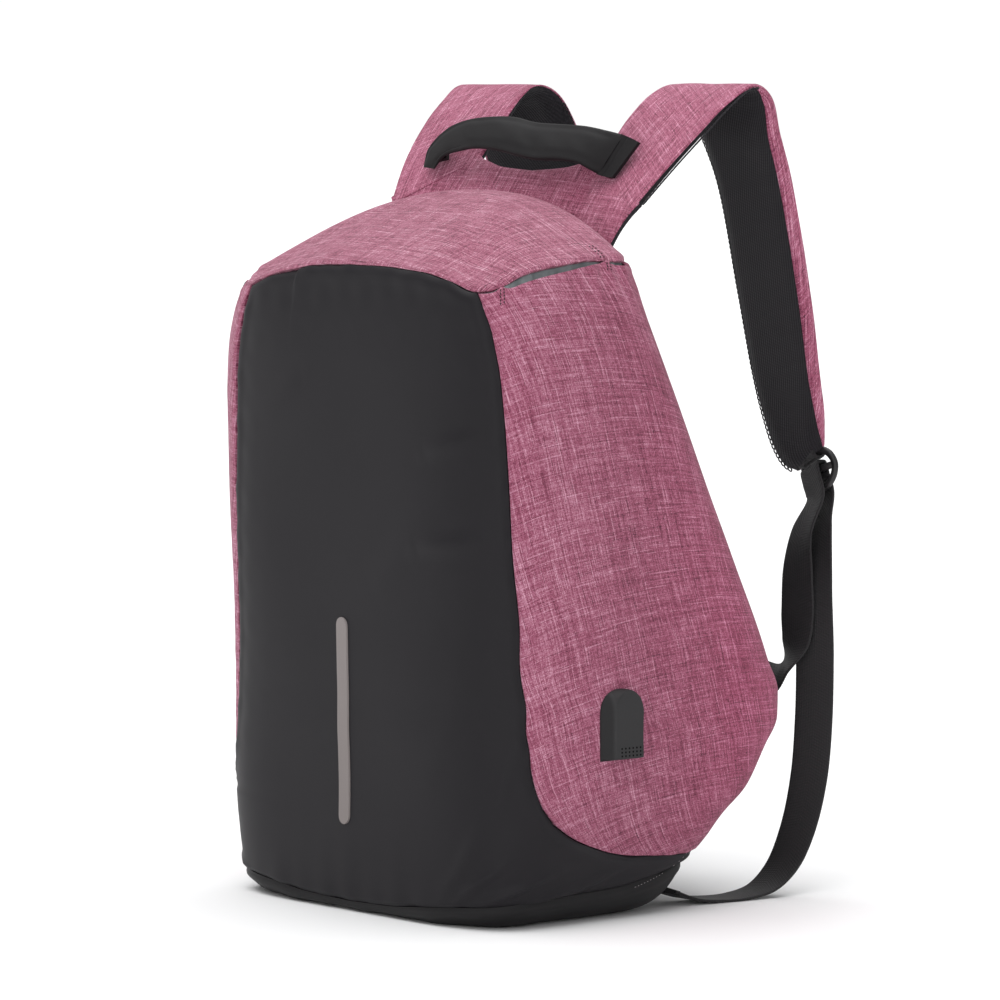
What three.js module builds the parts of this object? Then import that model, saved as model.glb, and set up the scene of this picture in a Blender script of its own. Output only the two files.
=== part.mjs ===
import * as THREE from 'three';

// Stuffed backpack with hidden zips: black front, melange cloth round it, two padded shoulder straps.
// Millimetres, +Z up, front to -Y, the wearer's back to +Y, floor at z = 0 under the middle of the base.

const crest = 450;
const halfWidth = 152;
const frontReach = 88;
const rearReach = 168;
const frontSquareness = 4.7;
const rearSquareness = 7;
const footHalfWidth = 0.7237 * halfWidth;
const footFront = -0.7955 * frontReach;
const footRear = 0.3095 * rearReach;
const crownY = 0.1429 * rearReach;
const seamGap = 0.4;
const clothThick = 2;
const frontThick = 2.4;
const baseThick = 3;
const crownThick = 2.6;
const backPad = 8;
const liningThick = 1;
const liningDeep = 3.9;
const webWidth = 25;
const webThick = 1.8;
const strapThick = 11;
const rad = Math.PI / 180;

const vec = (x, y, z) => new THREE.Vector3(x, y, z);

// Smooth line through a short table, with no overshoot between its rows.
function smooth(rows, from, to) {
  const xs = rows.map((row) => row[from]);
  const ys = rows.map((row) => row[to]);
  const last = xs.length - 1;
  const slope = [];
  for (let i = 0; i < last; i++) slope.push((ys[i + 1] - ys[i]) / (xs[i + 1] - xs[i]));
  const tangent = [slope[0]];
  for (let i = 1; i < last; i++) {
    const turns = slope[i - 1] * slope[i] <= 0;
    tangent.push(turns ? 0 : 2 / (1 / slope[i - 1] + 1 / slope[i]));
  }
  tangent.push(slope[last - 1]);
  return (x) => {
    if (x <= xs[0]) return ys[0];
    if (x >= xs[last]) return ys[last];
    let i = 0;
    while (x > xs[i + 1]) i++;
    const step = xs[i + 1] - xs[i];
    const t = (x - xs[i]) / step;
    const a = ys[i] * (1 + 2 * t) * (1 - t) * (1 - t) + ys[i + 1] * t * t * (3 - 2 * t);
    return a + step * (tangent[i] * t * (1 - t) * (1 - t) - tangent[i + 1] * t * t * (1 - t));
  };
}

// Outline of the stuffed body by height, as shares of the crest height, reaches and half width.
const bodyRows = [
  { up: 0, front: 0.9, rear: 0.3, half: 0.8 },
  { up: 0.018, front: 0.943, rear: 0.357, half: 0.862 },
  { up: 0.036, front: 0.955, rear: 0.429, half: 0.895 },
  { up: 0.062, front: 0.955, rear: 0.5, half: 0.928 },
  { up: 0.078, front: 0.955, rear: 0.571, half: 0.947 },
  { up: 0.129, front: 0.955, rear: 0.72, half: 0.98 },
  { up: 0.169, front: 0.955, rear: 0.845, half: 0.993 },
  { up: 0.222, front: 0.96, rear: 0.935, half: 1 },
  { up: 0.262, front: 0.966, rear: 0.994, half: 1 },
  { up: 0.298, front: 0.966, rear: 1, half: 1 },
  { up: 0.342, front: 0.972, rear: 0.952, half: 0.993 },
  { up: 0.413, front: 0.977, rear: 0.869, half: 0.987 },
  { up: 0.493, front: 0.989, rear: 0.768, half: 0.98 },
  { up: 0.613, front: 1, rear: 0.613, half: 0.972 },
  { up: 0.769, front: 1, rear: 0.417, half: 0.955 },
  { up: 0.822, front: 0.989, rear: 0.351, half: 0.941 },
  { up: 0.862, front: 0.966, rear: 0.298, half: 0.921 },
  { up: 0.889, front: 0.943, rear: 0.262, half: 0.892 },
  { up: 0.909, front: 0.92, rear: 0.238, half: 0.872 },
  { up: 0.96, front: 0.68, rear: 0.202, half: 0.8 },
];
const frontLine = smooth(bodyRows, 'up', 'front');
const rearLine = smooth(bodyRows, 'up', 'rear');
const halfLine = smooth(bodyRows, 'up', 'half');

function ringPoint(turn, front, rear, half, z) {
  const mid = (front + rear) / 2;
  const deep = (rear - front) / 2;
  const n = Math.cos(turn) > 0 ? frontSquareness : rearSquareness;
  const side = Math.pow(Math.abs(Math.sin(turn)) / half, n);
  const face = Math.pow(Math.abs(Math.cos(turn)) / deep, n);
  const r = Math.pow(side + face, -1 / n);
  return vec(r * Math.sin(turn), mid - r * Math.cos(turn), z);
}

function wall(turn, z) {
  const up = z / crest;
  return ringPoint(turn, -frontLine(up) * frontReach, rearLine(up) * rearReach, halfLine(up) * halfWidth, z);
}

// Height of the lower seam and of the top edge by turn in degrees from the front, as shares of the crest.
const edgeRows = [
  { turn: 0, low: 0.014, high: 0.9 },
  { turn: 30, low: 0.017, high: 0.899 },
  { turn: 50, low: 0.026, high: 0.893 },
  { turn: 58, low: 0.03, high: 0.882 },
  { turn: 64, low: 0.032, high: 0.868 },
  { turn: 70, low: 0.035, high: 0.877 },
  { turn: 78, low: 0.038, high: 0.893 },
  { turn: 90, low: 0.041, high: 0.903 },
  { turn: 101, low: 0.044, high: 0.909 },
  { turn: 111, low: 0.056, high: 0.906 },
  { turn: 120, low: 0.07, high: 0.91 },
  { turn: 135, low: 0.078, high: 0.916 },
  { turn: 180, low: 0.08, high: 0.922 },
];
// How round the top rises from its edge, by turn.
const crownRows = [
  { turn: 0, bend: 1.35 },
  { turn: 45, bend: 1.4 },
  { turn: 90, bend: 2.1 },
  { turn: 110, bend: 2.3 },
  { turn: 180, bend: 2 },
];
const lowLine = smooth(edgeRows, 'turn', 'low');
const highLine = smooth(edgeRows, 'turn', 'high');
const crownBend = smooth(crownRows, 'turn', 'bend');
const turnOf = (turn) => Math.abs(((((turn / rad + 180) % 360) + 360) % 360) - 180);
const lowEdge = (turn) => crest * lowLine(turnOf(turn));
const highEdge = (turn) => crest * highLine(turnOf(turn));
const share = (turn, z) => 1 + (z - lowEdge(turn)) / (highEdge(turn) - lowEdge(turn));

// The whole outside: 0 to 1 is the underside and its rim, 1 to 2 the walls, 2 to 3 the domed top.
function skin(turn, v) {
  if (v <= 1) {
    const seam = wall(turn, lowEdge(turn));
    const foot = ringPoint(turn, footFront, footRear, footHalfWidth, 0);
    if (v <= 0.5) return foot.multiplyScalar(v / 0.5);
    const t = (v - 0.5) / 0.5;
    const knee = foot.clone().lerp(seam, 0.8).setZ(0);
    return foot.multiplyScalar((1 - t) * (1 - t)).addScaledVector(knee, 2 * t * (1 - t)).addScaledVector(seam, t * t);
  }
  if (v <= 2) return wall(turn, lowEdge(turn) + (v - 1) * (highEdge(turn) - lowEdge(turn)));
  const s = v - 2;
  const rim = wall(turn, highEdge(turn));
  const rise = 1 - Math.pow(1 - s, crownBend(turnOf(turn)));
  return vec(rim.x * (1 - s), rim.y + (crownY - rim.y) * s, rim.z + (crest - rim.z) * rise);
}

function outward(turn, v) {
  if (v > 2.97) return vec(0, 0, 1);
  if (v < 0.05) return vec(0, 0, -1);
  const rate = (w) => (w < 1 ? 90 : w < 2 ? 390 : 110);
  const up = Math.min(2.999, v + 4 / rate(v + 0.001));
  const down = Math.max(0.001, v - 4 / rate(v - 0.001));
  const rise = skin(turn, up).sub(skin(turn, down));
  const along = skin(turn + 0.03, v).sub(skin(turn - 0.03, v));
  return along.cross(rise).normalize();
}

const off = (turn, v, by) => skin(turn, v).addScaledVector(outward(turn, v), by);

// Closed solids from two facing grids of points.
function solid(name, points, faces) {
  const flat = [];
  for (const p of points) flat.push(p.x, p.y, p.z);
  let volume = 0;
  for (const [a, b, c] of faces) volume += points[a].dot(points[b].clone().cross(points[c]));
  const index = [];
  for (const [a, b, c] of faces) index.push(a, volume > 0 ? b : c, volume > 0 ? c : b);
  const geometry = new THREE.BufferGeometry();
  geometry.setAttribute('position', new THREE.Float32BufferAttribute(flat, 3));
  geometry.setIndex(index);
  geometry.computeVertexNormals();
  const mesh = new THREE.Mesh(geometry, new THREE.MeshStandardMaterial({ color: colours[name] ?? 0x3a383b }));
  mesh.name = name;
  return mesh;
}

function shell(name, outer, inner) {
  const rows = outer.length;
  const cols = outer[0].length;
  const points = [...outer.flat(), ...inner.flat()];
  const at = (layer, i, j) => layer * rows * cols + i * cols + j;
  const faces = [];
  const quad = (a, b, c, d) => faces.push([a, b, c], [a, c, d]);
  for (let i = 0; i < rows - 1; i++) {
    for (let j = 0; j < cols - 1; j++) {
      quad(at(0, i, j), at(0, i + 1, j), at(0, i + 1, j + 1), at(0, i, j + 1));
      quad(at(1, i, j), at(1, i, j + 1), at(1, i + 1, j + 1), at(1, i + 1, j));
    }
    quad(at(0, i, 0), at(1, i, 0), at(1, i + 1, 0), at(0, i + 1, 0));
    quad(at(0, i, cols - 1), at(0, i + 1, cols - 1), at(1, i + 1, cols - 1), at(1, i, cols - 1));
  }
  for (let j = 0; j < cols - 1; j++) {
    quad(at(0, 0, j), at(0, 0, j + 1), at(1, 0, j + 1), at(1, 0, j));
    quad(at(0, rows - 1, j), at(1, rows - 1, j), at(1, rows - 1, j + 1), at(0, rows - 1, j + 1));
  }
  return solid(name, points, faces);
}

// Rings closed round a pole: the last ring of each layer is one point.
function dish(name, outer, inner, outerPole, innerPole) {
  const rings = outer.length;
  const count = outer[0].length;
  const points = [...outer.flat(), ...inner.flat(), outerPole, innerPole];
  const at = (layer, i, j) => layer * rings * count + i * count + (j % count);
  const pole = 2 * rings * count;
  const faces = [];
  const quad = (a, b, c, d) => faces.push([a, b, c], [a, c, d]);
  for (let j = 0; j < count; j++) {
    for (let i = 0; i < rings - 1; i++) {
      quad(at(0, i, j), at(0, i, j + 1), at(0, i + 1, j + 1), at(0, i + 1, j));
      quad(at(1, i, j), at(1, i + 1, j), at(1, i + 1, j + 1), at(1, i, j + 1));
    }
    faces.push([at(0, rings - 1, j), at(0, rings - 1, j + 1), pole]);
    faces.push([at(1, rings - 1, j + 1), at(1, rings - 1, j), pole + 1]);
    quad(at(0, 0, j + 1), at(0, 0, j), at(1, 0, j), at(1, 0, j + 1));
  }
  return solid(name, points, faces);
}

const colours = {
  side_panel_right: 0xb0567a,
  side_panel_left: 0xb0567a,
  top_panel: 0xb8607f,
  yoke: 0xb8607f,
  strap_outer_right: 0xb8607f,
  strap_outer_left: 0xb8607f,
  pocket_lining_right: 0x8d9194,
  pocket_lining_left: 0x8d9194,
  reflective_strip: 0x8f8684,
};

// Seam lines on the skin, as [turn, v] pairs. Turn in degrees, height as a share of the crest.
const frontSeamRows = [
  { up: 0.144, turn: 67.9 },
  { up: 0.172, turn: 62.4 },
  { up: 0.204, turn: 59.3 },
  { up: 0.236, turn: 57.3 },
  { up: 0.278, turn: 55.6 },
  { up: 0.347, turn: 55.8 },
  { up: 0.42, turn: 57.6 },
  { up: 0.507, turn: 59.1 },
  { up: 0.607, turn: 61.7 },
  { up: 0.713, turn: 64.1 },
  { up: 0.769, turn: 65 },
  { up: 0.811, turn: 65.1 },
  { up: 0.84, turn: 64.6 },
  { up: 0.868, turn: 64 },
];
const boatSeamRows = [
  { turn: 67.9, up: 0.144 },
  { turn: 75.3, up: 0.122 },
  { turn: 82.6, up: 0.107 },
  { turn: 89.8, up: 0.096 },
  { turn: 96.9, up: 0.089 },
  { turn: 106.6, up: 0.084 },
  { turn: 118.3, up: 0.081 },
  { turn: 126, up: 0.082 },
];
const seamTurn = smooth(frontSeamRows, 'up', 'turn');
const boatUp = smooth(boatSeamRows, 'turn', 'up');
const kneeTurn = 67.9;
const kneeUp = 0.144;
const headTurn = 64;
const headUp = 0.868;

function rearTurn(z) {
  const up = z / crest;
  const deep = (rearLine(up) * rearReach + frontLine(up) * frontReach) / 2;
  return 180 - Math.atan2(halfLine(up) * halfWidth, deep) / rad + 5;
}
const heelTurn = rearTurn(crest * 0.082);
const heelLow = rearTurn(crest * 0.0735) - 0.3;
const napeTurn = rearTurn(crest * 0.91);

const spot = (turn, up) => [turn * rad, share(turn * rad, up * crest)];
const along = (count, make) => Array.from({ length: count + 1 }, (_, i) => make(i / count));
const mix = (a, b, t) => a + (b - a) * t;

// Moves a line of [turn, v] pairs sideways by a distance in millimetres, to its left.
function aside(line, by) {
  return line.map((p, i) => {
    const a = line[Math.max(0, i - 1)];
    const b = line[Math.min(line.length - 1, i + 1)];
    const dt = (b[0] - a[0]) * 150;
    const dv = (b[1] - a[1]) * 390;
    const length = Math.hypot(dt, dv) || 1;
    return [p[0] - (dv / length) * (by / 150), p[1] + (dt / length) * (by / 390)];
  });
}

// Blends four edge lines of [turn, v] pairs into a grid.
function fill(low, high, left, right) {
  const n = low.length - 1;
  const m = left.length - 1;
  return left.map((_, j) => low.map((_, i) => {
    const s = i / n;
    const t = j / m;
    return [0, 1].map((k) => {
      const ruled = (1 - t) * low[i][k] + t * high[i][k] + (1 - s) * left[j][k] + s * right[j][k];
      const corners = (1 - t) * ((1 - s) * low[0][k] + s * low[n][k]) + t * ((1 - s) * high[0][k] + s * high[n][k]);
      return ruled - corners;
    });
  }));
}

function panel(name, grid, outerBy, innerBy) {
  const lay = (by) => grid.map((row) => row.map(([turn, v]) => off(turn, v, by)));
  return shell(name, lay(outerBy), lay(innerBy));
}

const parts = [];
const half = seamGap / 2;
const sewn = half + 0.06;

// The seams that the front sheet shares with the sides, from the knee outwards.
const boatLine = along(10, (t) => {
  const turn = mix(kneeTurn, heelTurn, t);
  return spot(turn, boatUp(turn));
});
const risingLine = along(12, (t) => {
  const up = mix(kneeUp, headUp, Math.pow(t, 0.9));
  return spot(seamTurn(up), up);
});

// Front: one black sheet from the lower seam up, with a tongue that wraps under each side.
function frontEdge() {
  const line = [...boatLine.slice(1).reverse(), ...risingLine];
  line[0] = [line[0][0] - 0.004, line[0][1]];
  for (const t of along(9, (t) => t).slice(1)) line.push([mix(headTurn, 0, Math.pow(t, 1.15)) * rad, 2]);
  const mirrored = line.slice(0, -1).reverse().map(([turn, v]) => [-turn, v]);
  return [...line, ...mirrored].reverse();
}
const upper = frontEdge();
const frontTop = aside(upper, -sewn);
const toeTurn = 62;
const browTurn = 30;
const boatCount = boatLine.length - 1;
const risingCount = risingLine.length - 1;
const topCount = (upper.length - 1) / 2 - boatCount - risingCount;
const frontLow = upper.map((_, i) => {
  const k = Math.min(i, upper.length - 1 - i);
  let turn = mix(browTurn, 0, (k - boatCount - risingCount) / topCount);
  if (k <= boatCount) turn = mix(heelLow, toeTurn, k / boatCount);
  else if (k <= boatCount + risingCount) turn = mix(toeTurn, browTurn, (k - boatCount) / risingCount);
  return [(i < upper.length / 2 ? -1 : 1) * turn * rad, 1 + half / 390];
});
const frontGrid = along(7, (t) => frontLow.map((p, i) => [mix(p[0], frontTop[i][0], t), mix(p[1], frontTop[i][1], t)]));
parts.push(panel('front_panel', frontGrid, 0, -frontThick));

// Sides: cloth from the front seam round the rear corner, lower edge on the tongue, upper edge at the slit.
const slitRows = [
  { turn: 64, open: 0.15 },
  { turn: 68, open: 1.6 },
  { turn: 73, open: 1.4 },
  { turn: 77.5, open: 0.2 },
  { turn: 84, open: 2.8 },
  { turn: 92, open: 3.6 },
  { turn: 101, open: 2.2 },
  { turn: 105.5, open: 0.2 },
  { turn: 110, open: 2.2 },
  { turn: 114, open: 1.4 },
  { turn: 118, open: 0.15 },
];
const slitOpen = smooth(slitRows, 'turn', 'open');
const sideTop = along(10, (t) => {
  const turn = mix(headTurn, napeTurn, t);
  return [turn * rad, 2 - slitOpen(turn) / 390 - half / 390];
});
function sideGrid(sign) {
  const left = risingLine;
  const low = boatLine;
  const high = [...sideTop];
  const right = along(12, (t) => {
    const z = mix(boatUp(heelTurn), 0.91, t) * crest;
    const turn = rearTurn(z);
    return [turn * rad - half / 150, share(turn * rad, z)];
  });
  const lowIn = aside(low, sewn);
  const leftIn = aside(left, -sewn);
  const corner = [leftIn[0][0], lowIn[0][1]];
  lowIn[0] = corner;
  leftIn[0] = corner;
  leftIn[leftIn.length - 1] = high[0] = [leftIn[leftIn.length - 1][0], high[0][1]];
  right[0] = lowIn[lowIn.length - 1] = [right[0][0], lowIn[lowIn.length - 1][1]];
  right[right.length - 1] = high[high.length - 1] = [right[right.length - 1][0], high[high.length - 1][1]];
  return fill(lowIn, high, leftIn, right).map((row) => row.map(([turn, v]) => [turn * sign, v]));
}
parts.push(panel('side_panel_right', sideGrid(1), 0, -clothThick));
parts.push(panel('side_panel_left', sideGrid(-1), 0, -clothThick));

// Back: a padded panel between the rear corners.
const backGrid = along(14, (t) => {
  const v = mix(1 + half / 390, 2 - half / 390, t);
  let turn = 120;
  for (let k = 0; k < 4; k++) {
    const z = mix(lowEdge(turn * rad), highEdge(turn * rad), v - 1);
    turn = rearTurn(z);
  }
  const from = turn * rad + half / 150;
  return along(12, (s) => [mix(from, 2 * Math.PI - from, s), v]);
});
parts.push(panel('back_panel', backGrid, 0, -backPad));

// Turns of the panel corners round the lower seam and round the top edge.
const lowTurns = [...frontLow.map((p) => p[0]), ...backGrid[0].slice(1, -1).map((p) => p[0])];
const rightTurns = sideTop.slice(1).map((p) => p[0]);
const backTurns = backGrid[backGrid.length - 1].slice(1, -1).map((p) => p[0]);
const leftTurns = rightTurns.map((turn) => -turn).reverse();
const highTurns = [...leftTurns, ...frontTop.filter((p) => p[1] > 1.99).map((p) => p[0]), ...rightTurns, ...backTurns];

// Base: a pan with a flat underside and a rounded rim up to the lower seam.
const lay = (turns, stops, by) => stops.map((v) => turns.map((turn) => off(turn, v, by)));
const baseStops = [1 - half / 90, 0.86, 0.7, 0.5];
const baseIn = vec(0, 0, baseThick);
parts.push(dish('base_panel', lay(lowTurns, baseStops, 0), lay(lowTurns, baseStops, -baseThick), vec(0, 0, 0), baseIn));

// Top: one domed sheet.
const crownStops = [2 + half / 110, 2.07, 2.18, 2.34, 2.58];
const crownIn = vec(0, crownY, crest - crownThick);
const crownOut = lay(highTurns, crownStops, 0);
parts.push(dish('top_panel', crownOut, lay(highTurns, crownStops, -crownThick), vec(0, crownY, crest), crownIn));

// Grey lining behind each side slit.
function lining(name, sign) {
  const grid = along(2, (t) => along(12, (s) => [sign * mix(66.5, 115, s) * rad, mix(1.968, 2.09, t)]));
  parts.push(panel(name, grid, -liningDeep, -liningDeep - liningThick));
}
lining('pocket_lining_right', 1);
lining('pocket_lining_left', -1);

// Small parts on the skin, found by their place seen square on.
function turnAt(z, want, key, from, to) {
  let a = from;
  let b = to;
  for (let k = 0; k < 40; k++) {
    const m = (a + b) / 2;
    if (wall(m, z)[key] < want) a = m;
    else b = m;
  }
  return (a + b) / 2;
}
function onWall(turn, z, by) {
  return off(turn, share(turn, z), by);
}

// Reflective strip down the front, with round ends.
const stripLow = 55;
const stripHigh = 185;
const stripHalf = 5.5;
function stripSheet(by) {
  const round = [0, 0.15, 0.5, 1];
  const ends = [...round.map((k) => stripLow + k * stripHalf), ...round.map((k) => stripHigh - k * stripHalf).reverse()];
  const between = along(6, (t) => mix(ends[3], ends[4], t)).slice(1, -1);
  return [...ends.slice(0, 4), ...between, ...ends.slice(4)].map((z) => {
    const reach = Math.min(z - stripLow, stripHigh - z, stripHalf);
    const wide = Math.max(0.9, Math.sqrt(stripHalf ** 2 - (stripHalf - reach) ** 2));
    return [-1, 0, 1].map((k) => onWall(turnAt(z, k * wide, 'x', -0.7, 0.7), z, by));
  });
}
parts.push(shell('reflective_strip', stripSheet(1.1), stripSheet(0.5)));

// Rubber cover over the side socket: arched top, straight foot, low bevelled face.
const coverY = 11.5;
const coverHalf = 16.5;
const coverLow = 102;
const coverHigh = 146;
const coverTall = 4;
function coverRing(scale, by) {
  const points = [];
  const centreZ = (coverLow + coverHigh) / 2;
  const spring = coverHigh - 19;
  const outline = [];
  for (let k = 0; k <= 14; k++) {
    const a = (k / 14) * Math.PI;
    outline.push([coverY + Math.cos(a) * coverHalf, spring + Math.sin(a) * 19]);
  }
  for (const [y, z] of [[-1, 0.6], [-1, 0.25], [-0.94, 0.02], [-0.5, 0], [0, 0], [0.5, 0], [0.94, 0.02], [1, 0.25], [1, 0.6]]) {
    outline.push([coverY + y * coverHalf, mix(coverLow, spring, z)]);
  }
  for (const [y, z] of outline) {
    const py = coverY + (y - coverY) * scale;
    const pz = centreZ + (z - centreZ) * scale;
    points.push(onWall(turnAt(pz, py, 'y', 0.9, 2.2), pz, by));
  }
  return points;
}
const coverOuter = [coverRing(1, 0.3), coverRing(0.98, 1.8), coverRing(0.86, coverTall), coverRing(0.5, coverTall)];
const coverInner = [coverRing(0.97, 0.2), coverRing(0.9, 0.2), coverRing(0.7, 0.2), coverRing(0.5, 0.2)];
const coverMidZ = (coverLow + coverHigh) / 2;
const coverTurn = turnAt(coverMidZ, coverY, 'y', 0.9, 2.2);
const coverPoles = [onWall(coverTurn, coverMidZ, coverTall), onWall(coverTurn, coverMidZ, 0.2)];
parts.push(dish('usb_cover', coverOuter, coverInner, ...coverPoles));

// Places in the tables below are shares: x of the half width, y of the rear reach, z of the crest.
function place(row) {
  return { ...row, x: row.x * halfWidth, y: row.y * rearReach, z: row.z * crest };
}

// Line through a few points in space.
function path(rows) {
  const curve = new THREE.CatmullRomCurve3(rows.map((row) => vec(row.x, row.y, row.z)), false, 'centripetal');
  return (t) => curve.getPoint(t);
}

// Shoulder straps: mid-thickness edge lines from the yoke over the fold and down to the slider.
const strapOutRows = [
  { x: 0.8026, y: 0.3393, z: 0.98 },
  { x: 0.8651, y: 0.4464, z: 1.0311 },
  { x: 0.9079, y: 0.5655, z: 1.0778 },
  { x: 0.9276, y: 0.6726, z: 1.1133 },
  { x: 0.9474, y: 0.7738, z: 1.1356 },
  { x: 0.9539, y: 0.8274, z: 1.1244 },
  { x: 0.9474, y: 0.875, z: 1.0756 },
  { x: 0.9408, y: 0.9405, z: 1.0089 },
  { x: 0.9408, y: 1.0417, z: 0.8467 },
  { x: 0.9211, y: 1.1131, z: 0.7311 },
  { x: 0.9013, y: 1.1607, z: 0.6756 },
  { x: 0.8816, y: 1.1845, z: 0.6444 },
];
const strapInRows = [
  { x: 0.4079, y: 0.4881, z: 1.04 },
  { x: 0.3947, y: 0.5476, z: 1.0711 },
  { x: 0.3947, y: 0.6071, z: 1.0956 },
  { x: 0.4079, y: 0.6905, z: 1.1222 },
  { x: 0.4276, y: 0.7798, z: 1.1356 },
  { x: 0.4211, y: 0.8631, z: 1.1244 },
  { x: 0.4079, y: 0.9524, z: 1.0756 },
  { x: 0.4145, y: 1.0476, z: 1.0067 },
  { x: 0.4474, y: 1.1488, z: 0.8489 },
  { x: 0.4934, y: 1.1964, z: 0.7289 },
  { x: 0.5658, y: 1.2321, z: 0.6533 },
  { x: 0.6513, y: 1.244, z: 0.6133 },
];
const strapOut = path(strapOutRows.map(place));
const strapIn = path(strapInRows.map(place));
function strapFrame(t) {
  const a = strapIn(t);
  const b = strapOut(t);
  const ahead = strapIn(Math.min(1, t + 0.012)).add(strapOut(Math.min(1, t + 0.012)));
  const behind = strapIn(Math.max(0, t - 0.012)).add(strapOut(Math.max(0, t - 0.012)));
  const across = b.clone().sub(a).normalize();
  const normal = across.clone().cross(ahead.sub(behind)).normalize();
  return { centre: a.clone().add(b).multiplyScalar(0.5), across, normal, wide: a.distanceTo(b) / 2 };
}
function strapSheet(count, outline, sign) {
  return along(count, (t) => {
    const { centre, across, normal, wide } = strapFrame(t);
    return outline.map(([w, inset, n]) => {
      const p = centre.clone();
      p.addScaledVector(across, w * (wide - inset)).addScaledVector(normal, n * strapThick);
      p.x *= sign;
      return p;
    });
  });
}
const clothOut = [[-1, 0.4, -0.3], [-1, 0, 0.1], [-1, 2.4, 0.42], [-0.6, 0, 0.5], [0.6, 0, 0.5], [1, 2.4, 0.42],
  [1, 0, 0.1], [1, 0.4, -0.3]];
const clothIn = [[-1, 2.4, -0.3], [-1, 2.1, 0], [-1, 3.6, 0.22], [-0.6, 0, 0.3], [0.6, 0, 0.3], [1, 3.6, 0.22],
  [1, 2.1, 0], [1, 2.4, -0.3]];
const meshOut = [[-1, 2.8, -0.12], [-1, 4.2, 0.17], [-0.6, 0, 0.26], [0.6, 0, 0.26], [1, 4.2, 0.17], [1, 2.8, -0.12]];
const meshIn = [[-1, 2.8, -0.3], [-1, 4.4, -0.42], [-0.6, 0, -0.5], [0.6, 0, -0.5], [1, 4.4, -0.42], [1, 2.8, -0.3]];
for (const [side, sign] of [['right', 1], ['left', -1]]) {
  parts.push(shell(`strap_outer_${side}`, strapSheet(24, clothOut, sign), strapSheet(24, clothIn, sign)));
  parts.push(shell(`strap_mesh_${side}`, strapSheet(24, meshOut, sign), strapSheet(24, meshIn, sign)));
}

// Yoke: the cloth panel behind the crest that both straps grow out of.
const neckRows = [
  { x: 0, y: 0.4286, z: 1.02 },
  { x: 0.1974, y: 0.4345, z: 1.0244 },
  { x: 0.3289, y: 0.4554, z: 1.0333 },
  { x: 0.4066, y: 0.4827, z: 1.0373 },
  { x: 0.6039, y: 0.4083, z: 1.0073 },
  { x: 0.8013, y: 0.3339, z: 0.9773 },
];
const neckLine = (key) => {
  const rows = neckRows.map(place);
  const curve = smooth(rows.slice(0, 4), 'x', key);
  const [inner, outer] = [rows[3], rows[5]];
  return (x) => (x <= inner.x ? curve(x) : mix(inner[key], outer[key], (x - inner.x) / (outer.x - inner.x)));
};
const neckY = neckLine('y');
const neckZ = neckLine('z');
const yokeFoot = place({ x: 0.6711, y: 0.2798, z: 0.9067 });
const yokeTop = place(neckRows[5]);
const yokeBow = 3.2;
function yokeSheet(by) {
  return along(5, (t) => along(20, (s) => {
    const x = mix(-1, 1, s) * mix(yokeFoot.x, yokeTop.x, t);
    const foot = vec(x, yokeFoot.y - yokeBow / 2 * (x / yokeFoot.x) ** 2, yokeFoot.z);
    const top = vec(x, neckY(Math.abs(x)), neckZ(Math.abs(x)));
    const p = foot.lerp(top, t);
    p.y -= yokeBow * Math.sin(Math.PI * t);
    const tilt = vec(0, -0.95, 0.3).lerp(vec(0, -0.79, 0.61), t);
    return p.addScaledVector(tilt, by * strapThick);
  }));
}
parts.push(shell('yoke', yokeSheet(0.48), yokeSheet(-0.48)));

// Ribbon or band: rows of place and crosswise direction, with half width and half thickness by share.
function band(name, rows, count, wide, thick, lobes, sign) {
  const line = path(rows);
  const lean = path(rows.map((row) => ({ x: row.ax, y: row.ay, z: row.az })));
  const sheet = (face) => along(count, (t) => {
    const across = lean(t).normalize();
    const ahead = line(Math.min(1, t + 0.004)).sub(line(Math.max(0, t - 0.004)));
    const normal = across.clone().cross(ahead).normalize();
    return lobes.map(([w, n]) => {
      const p = line(t).addScaledVector(across, w * wide(t)).addScaledVector(normal, face * n * thick(t));
      p.x *= sign;
      return p;
    });
  });
  return shell(name, sheet(1), sheet(-1));
}
const flatBand = [[-1, 1], [1, 1]];
const roundBand = [[-1, 0.35], [-0.7, 0.9], [0, 1], [0.7, 0.9], [1, 0.35]];

// Carry handle: a padded band over the neck of the bag, with a flat tab at each end.
const handleRows = [
  { x: -0.5724, y: 0.3988, z: 1.0444, ax: 0, ay: 0.55, az: 0.83 },
  { x: -0.4868, y: 0.3631, z: 1.06, ax: 0, ay: 0.5, az: 0.86 },
  { x: -0.3158, y: 0.3482, z: 1.0711, ax: 0, ay: 0.52, az: 0.85 },
  { x: 0, y: 0.3601, z: 1.0744, ax: 0, ay: 0.55, az: 0.83 },
  { x: 0.3158, y: 0.3482, z: 1.0711, ax: 0, ay: 0.52, az: 0.85 },
  { x: 0.4868, y: 0.3631, z: 1.06, ax: 0, ay: 0.5, az: 0.86 },
  { x: 0.5724, y: 0.3988, z: 1.0444, ax: 0, ay: 0.55, az: 0.83 },
];
const handleWide = (t) => 12 + 2.5 * Math.abs(2 * t - 1) ** 2;
const handleThick = (t) => 4.4 - 1.9 * Math.abs(2 * t - 1) ** 4;
parts.push(band('carry_handle', handleRows.map(place), 20, handleWide, handleThick, roundBand, 1));
const tabRows = [
  { x: 0.5757, y: 0.4, z: 1.044, ax: 0, ay: 0.55, az: 0.83 },
  { x: 0.6118, y: 0.4024, z: 1.0391, ax: 0, ay: 0.55, az: 0.83 },
  { x: 0.6513, y: 0.3964, z: 1.0333, ax: 0, ay: 0.55, az: 0.83 },
];
for (const [side, sign] of [['right', 1], ['left', -1]]) {
  parts.push(band(`handle_tab_${side}`, tabRows.map(place), 3, () => 14.3, () => 1.2, flatBand, sign));
}

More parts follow.
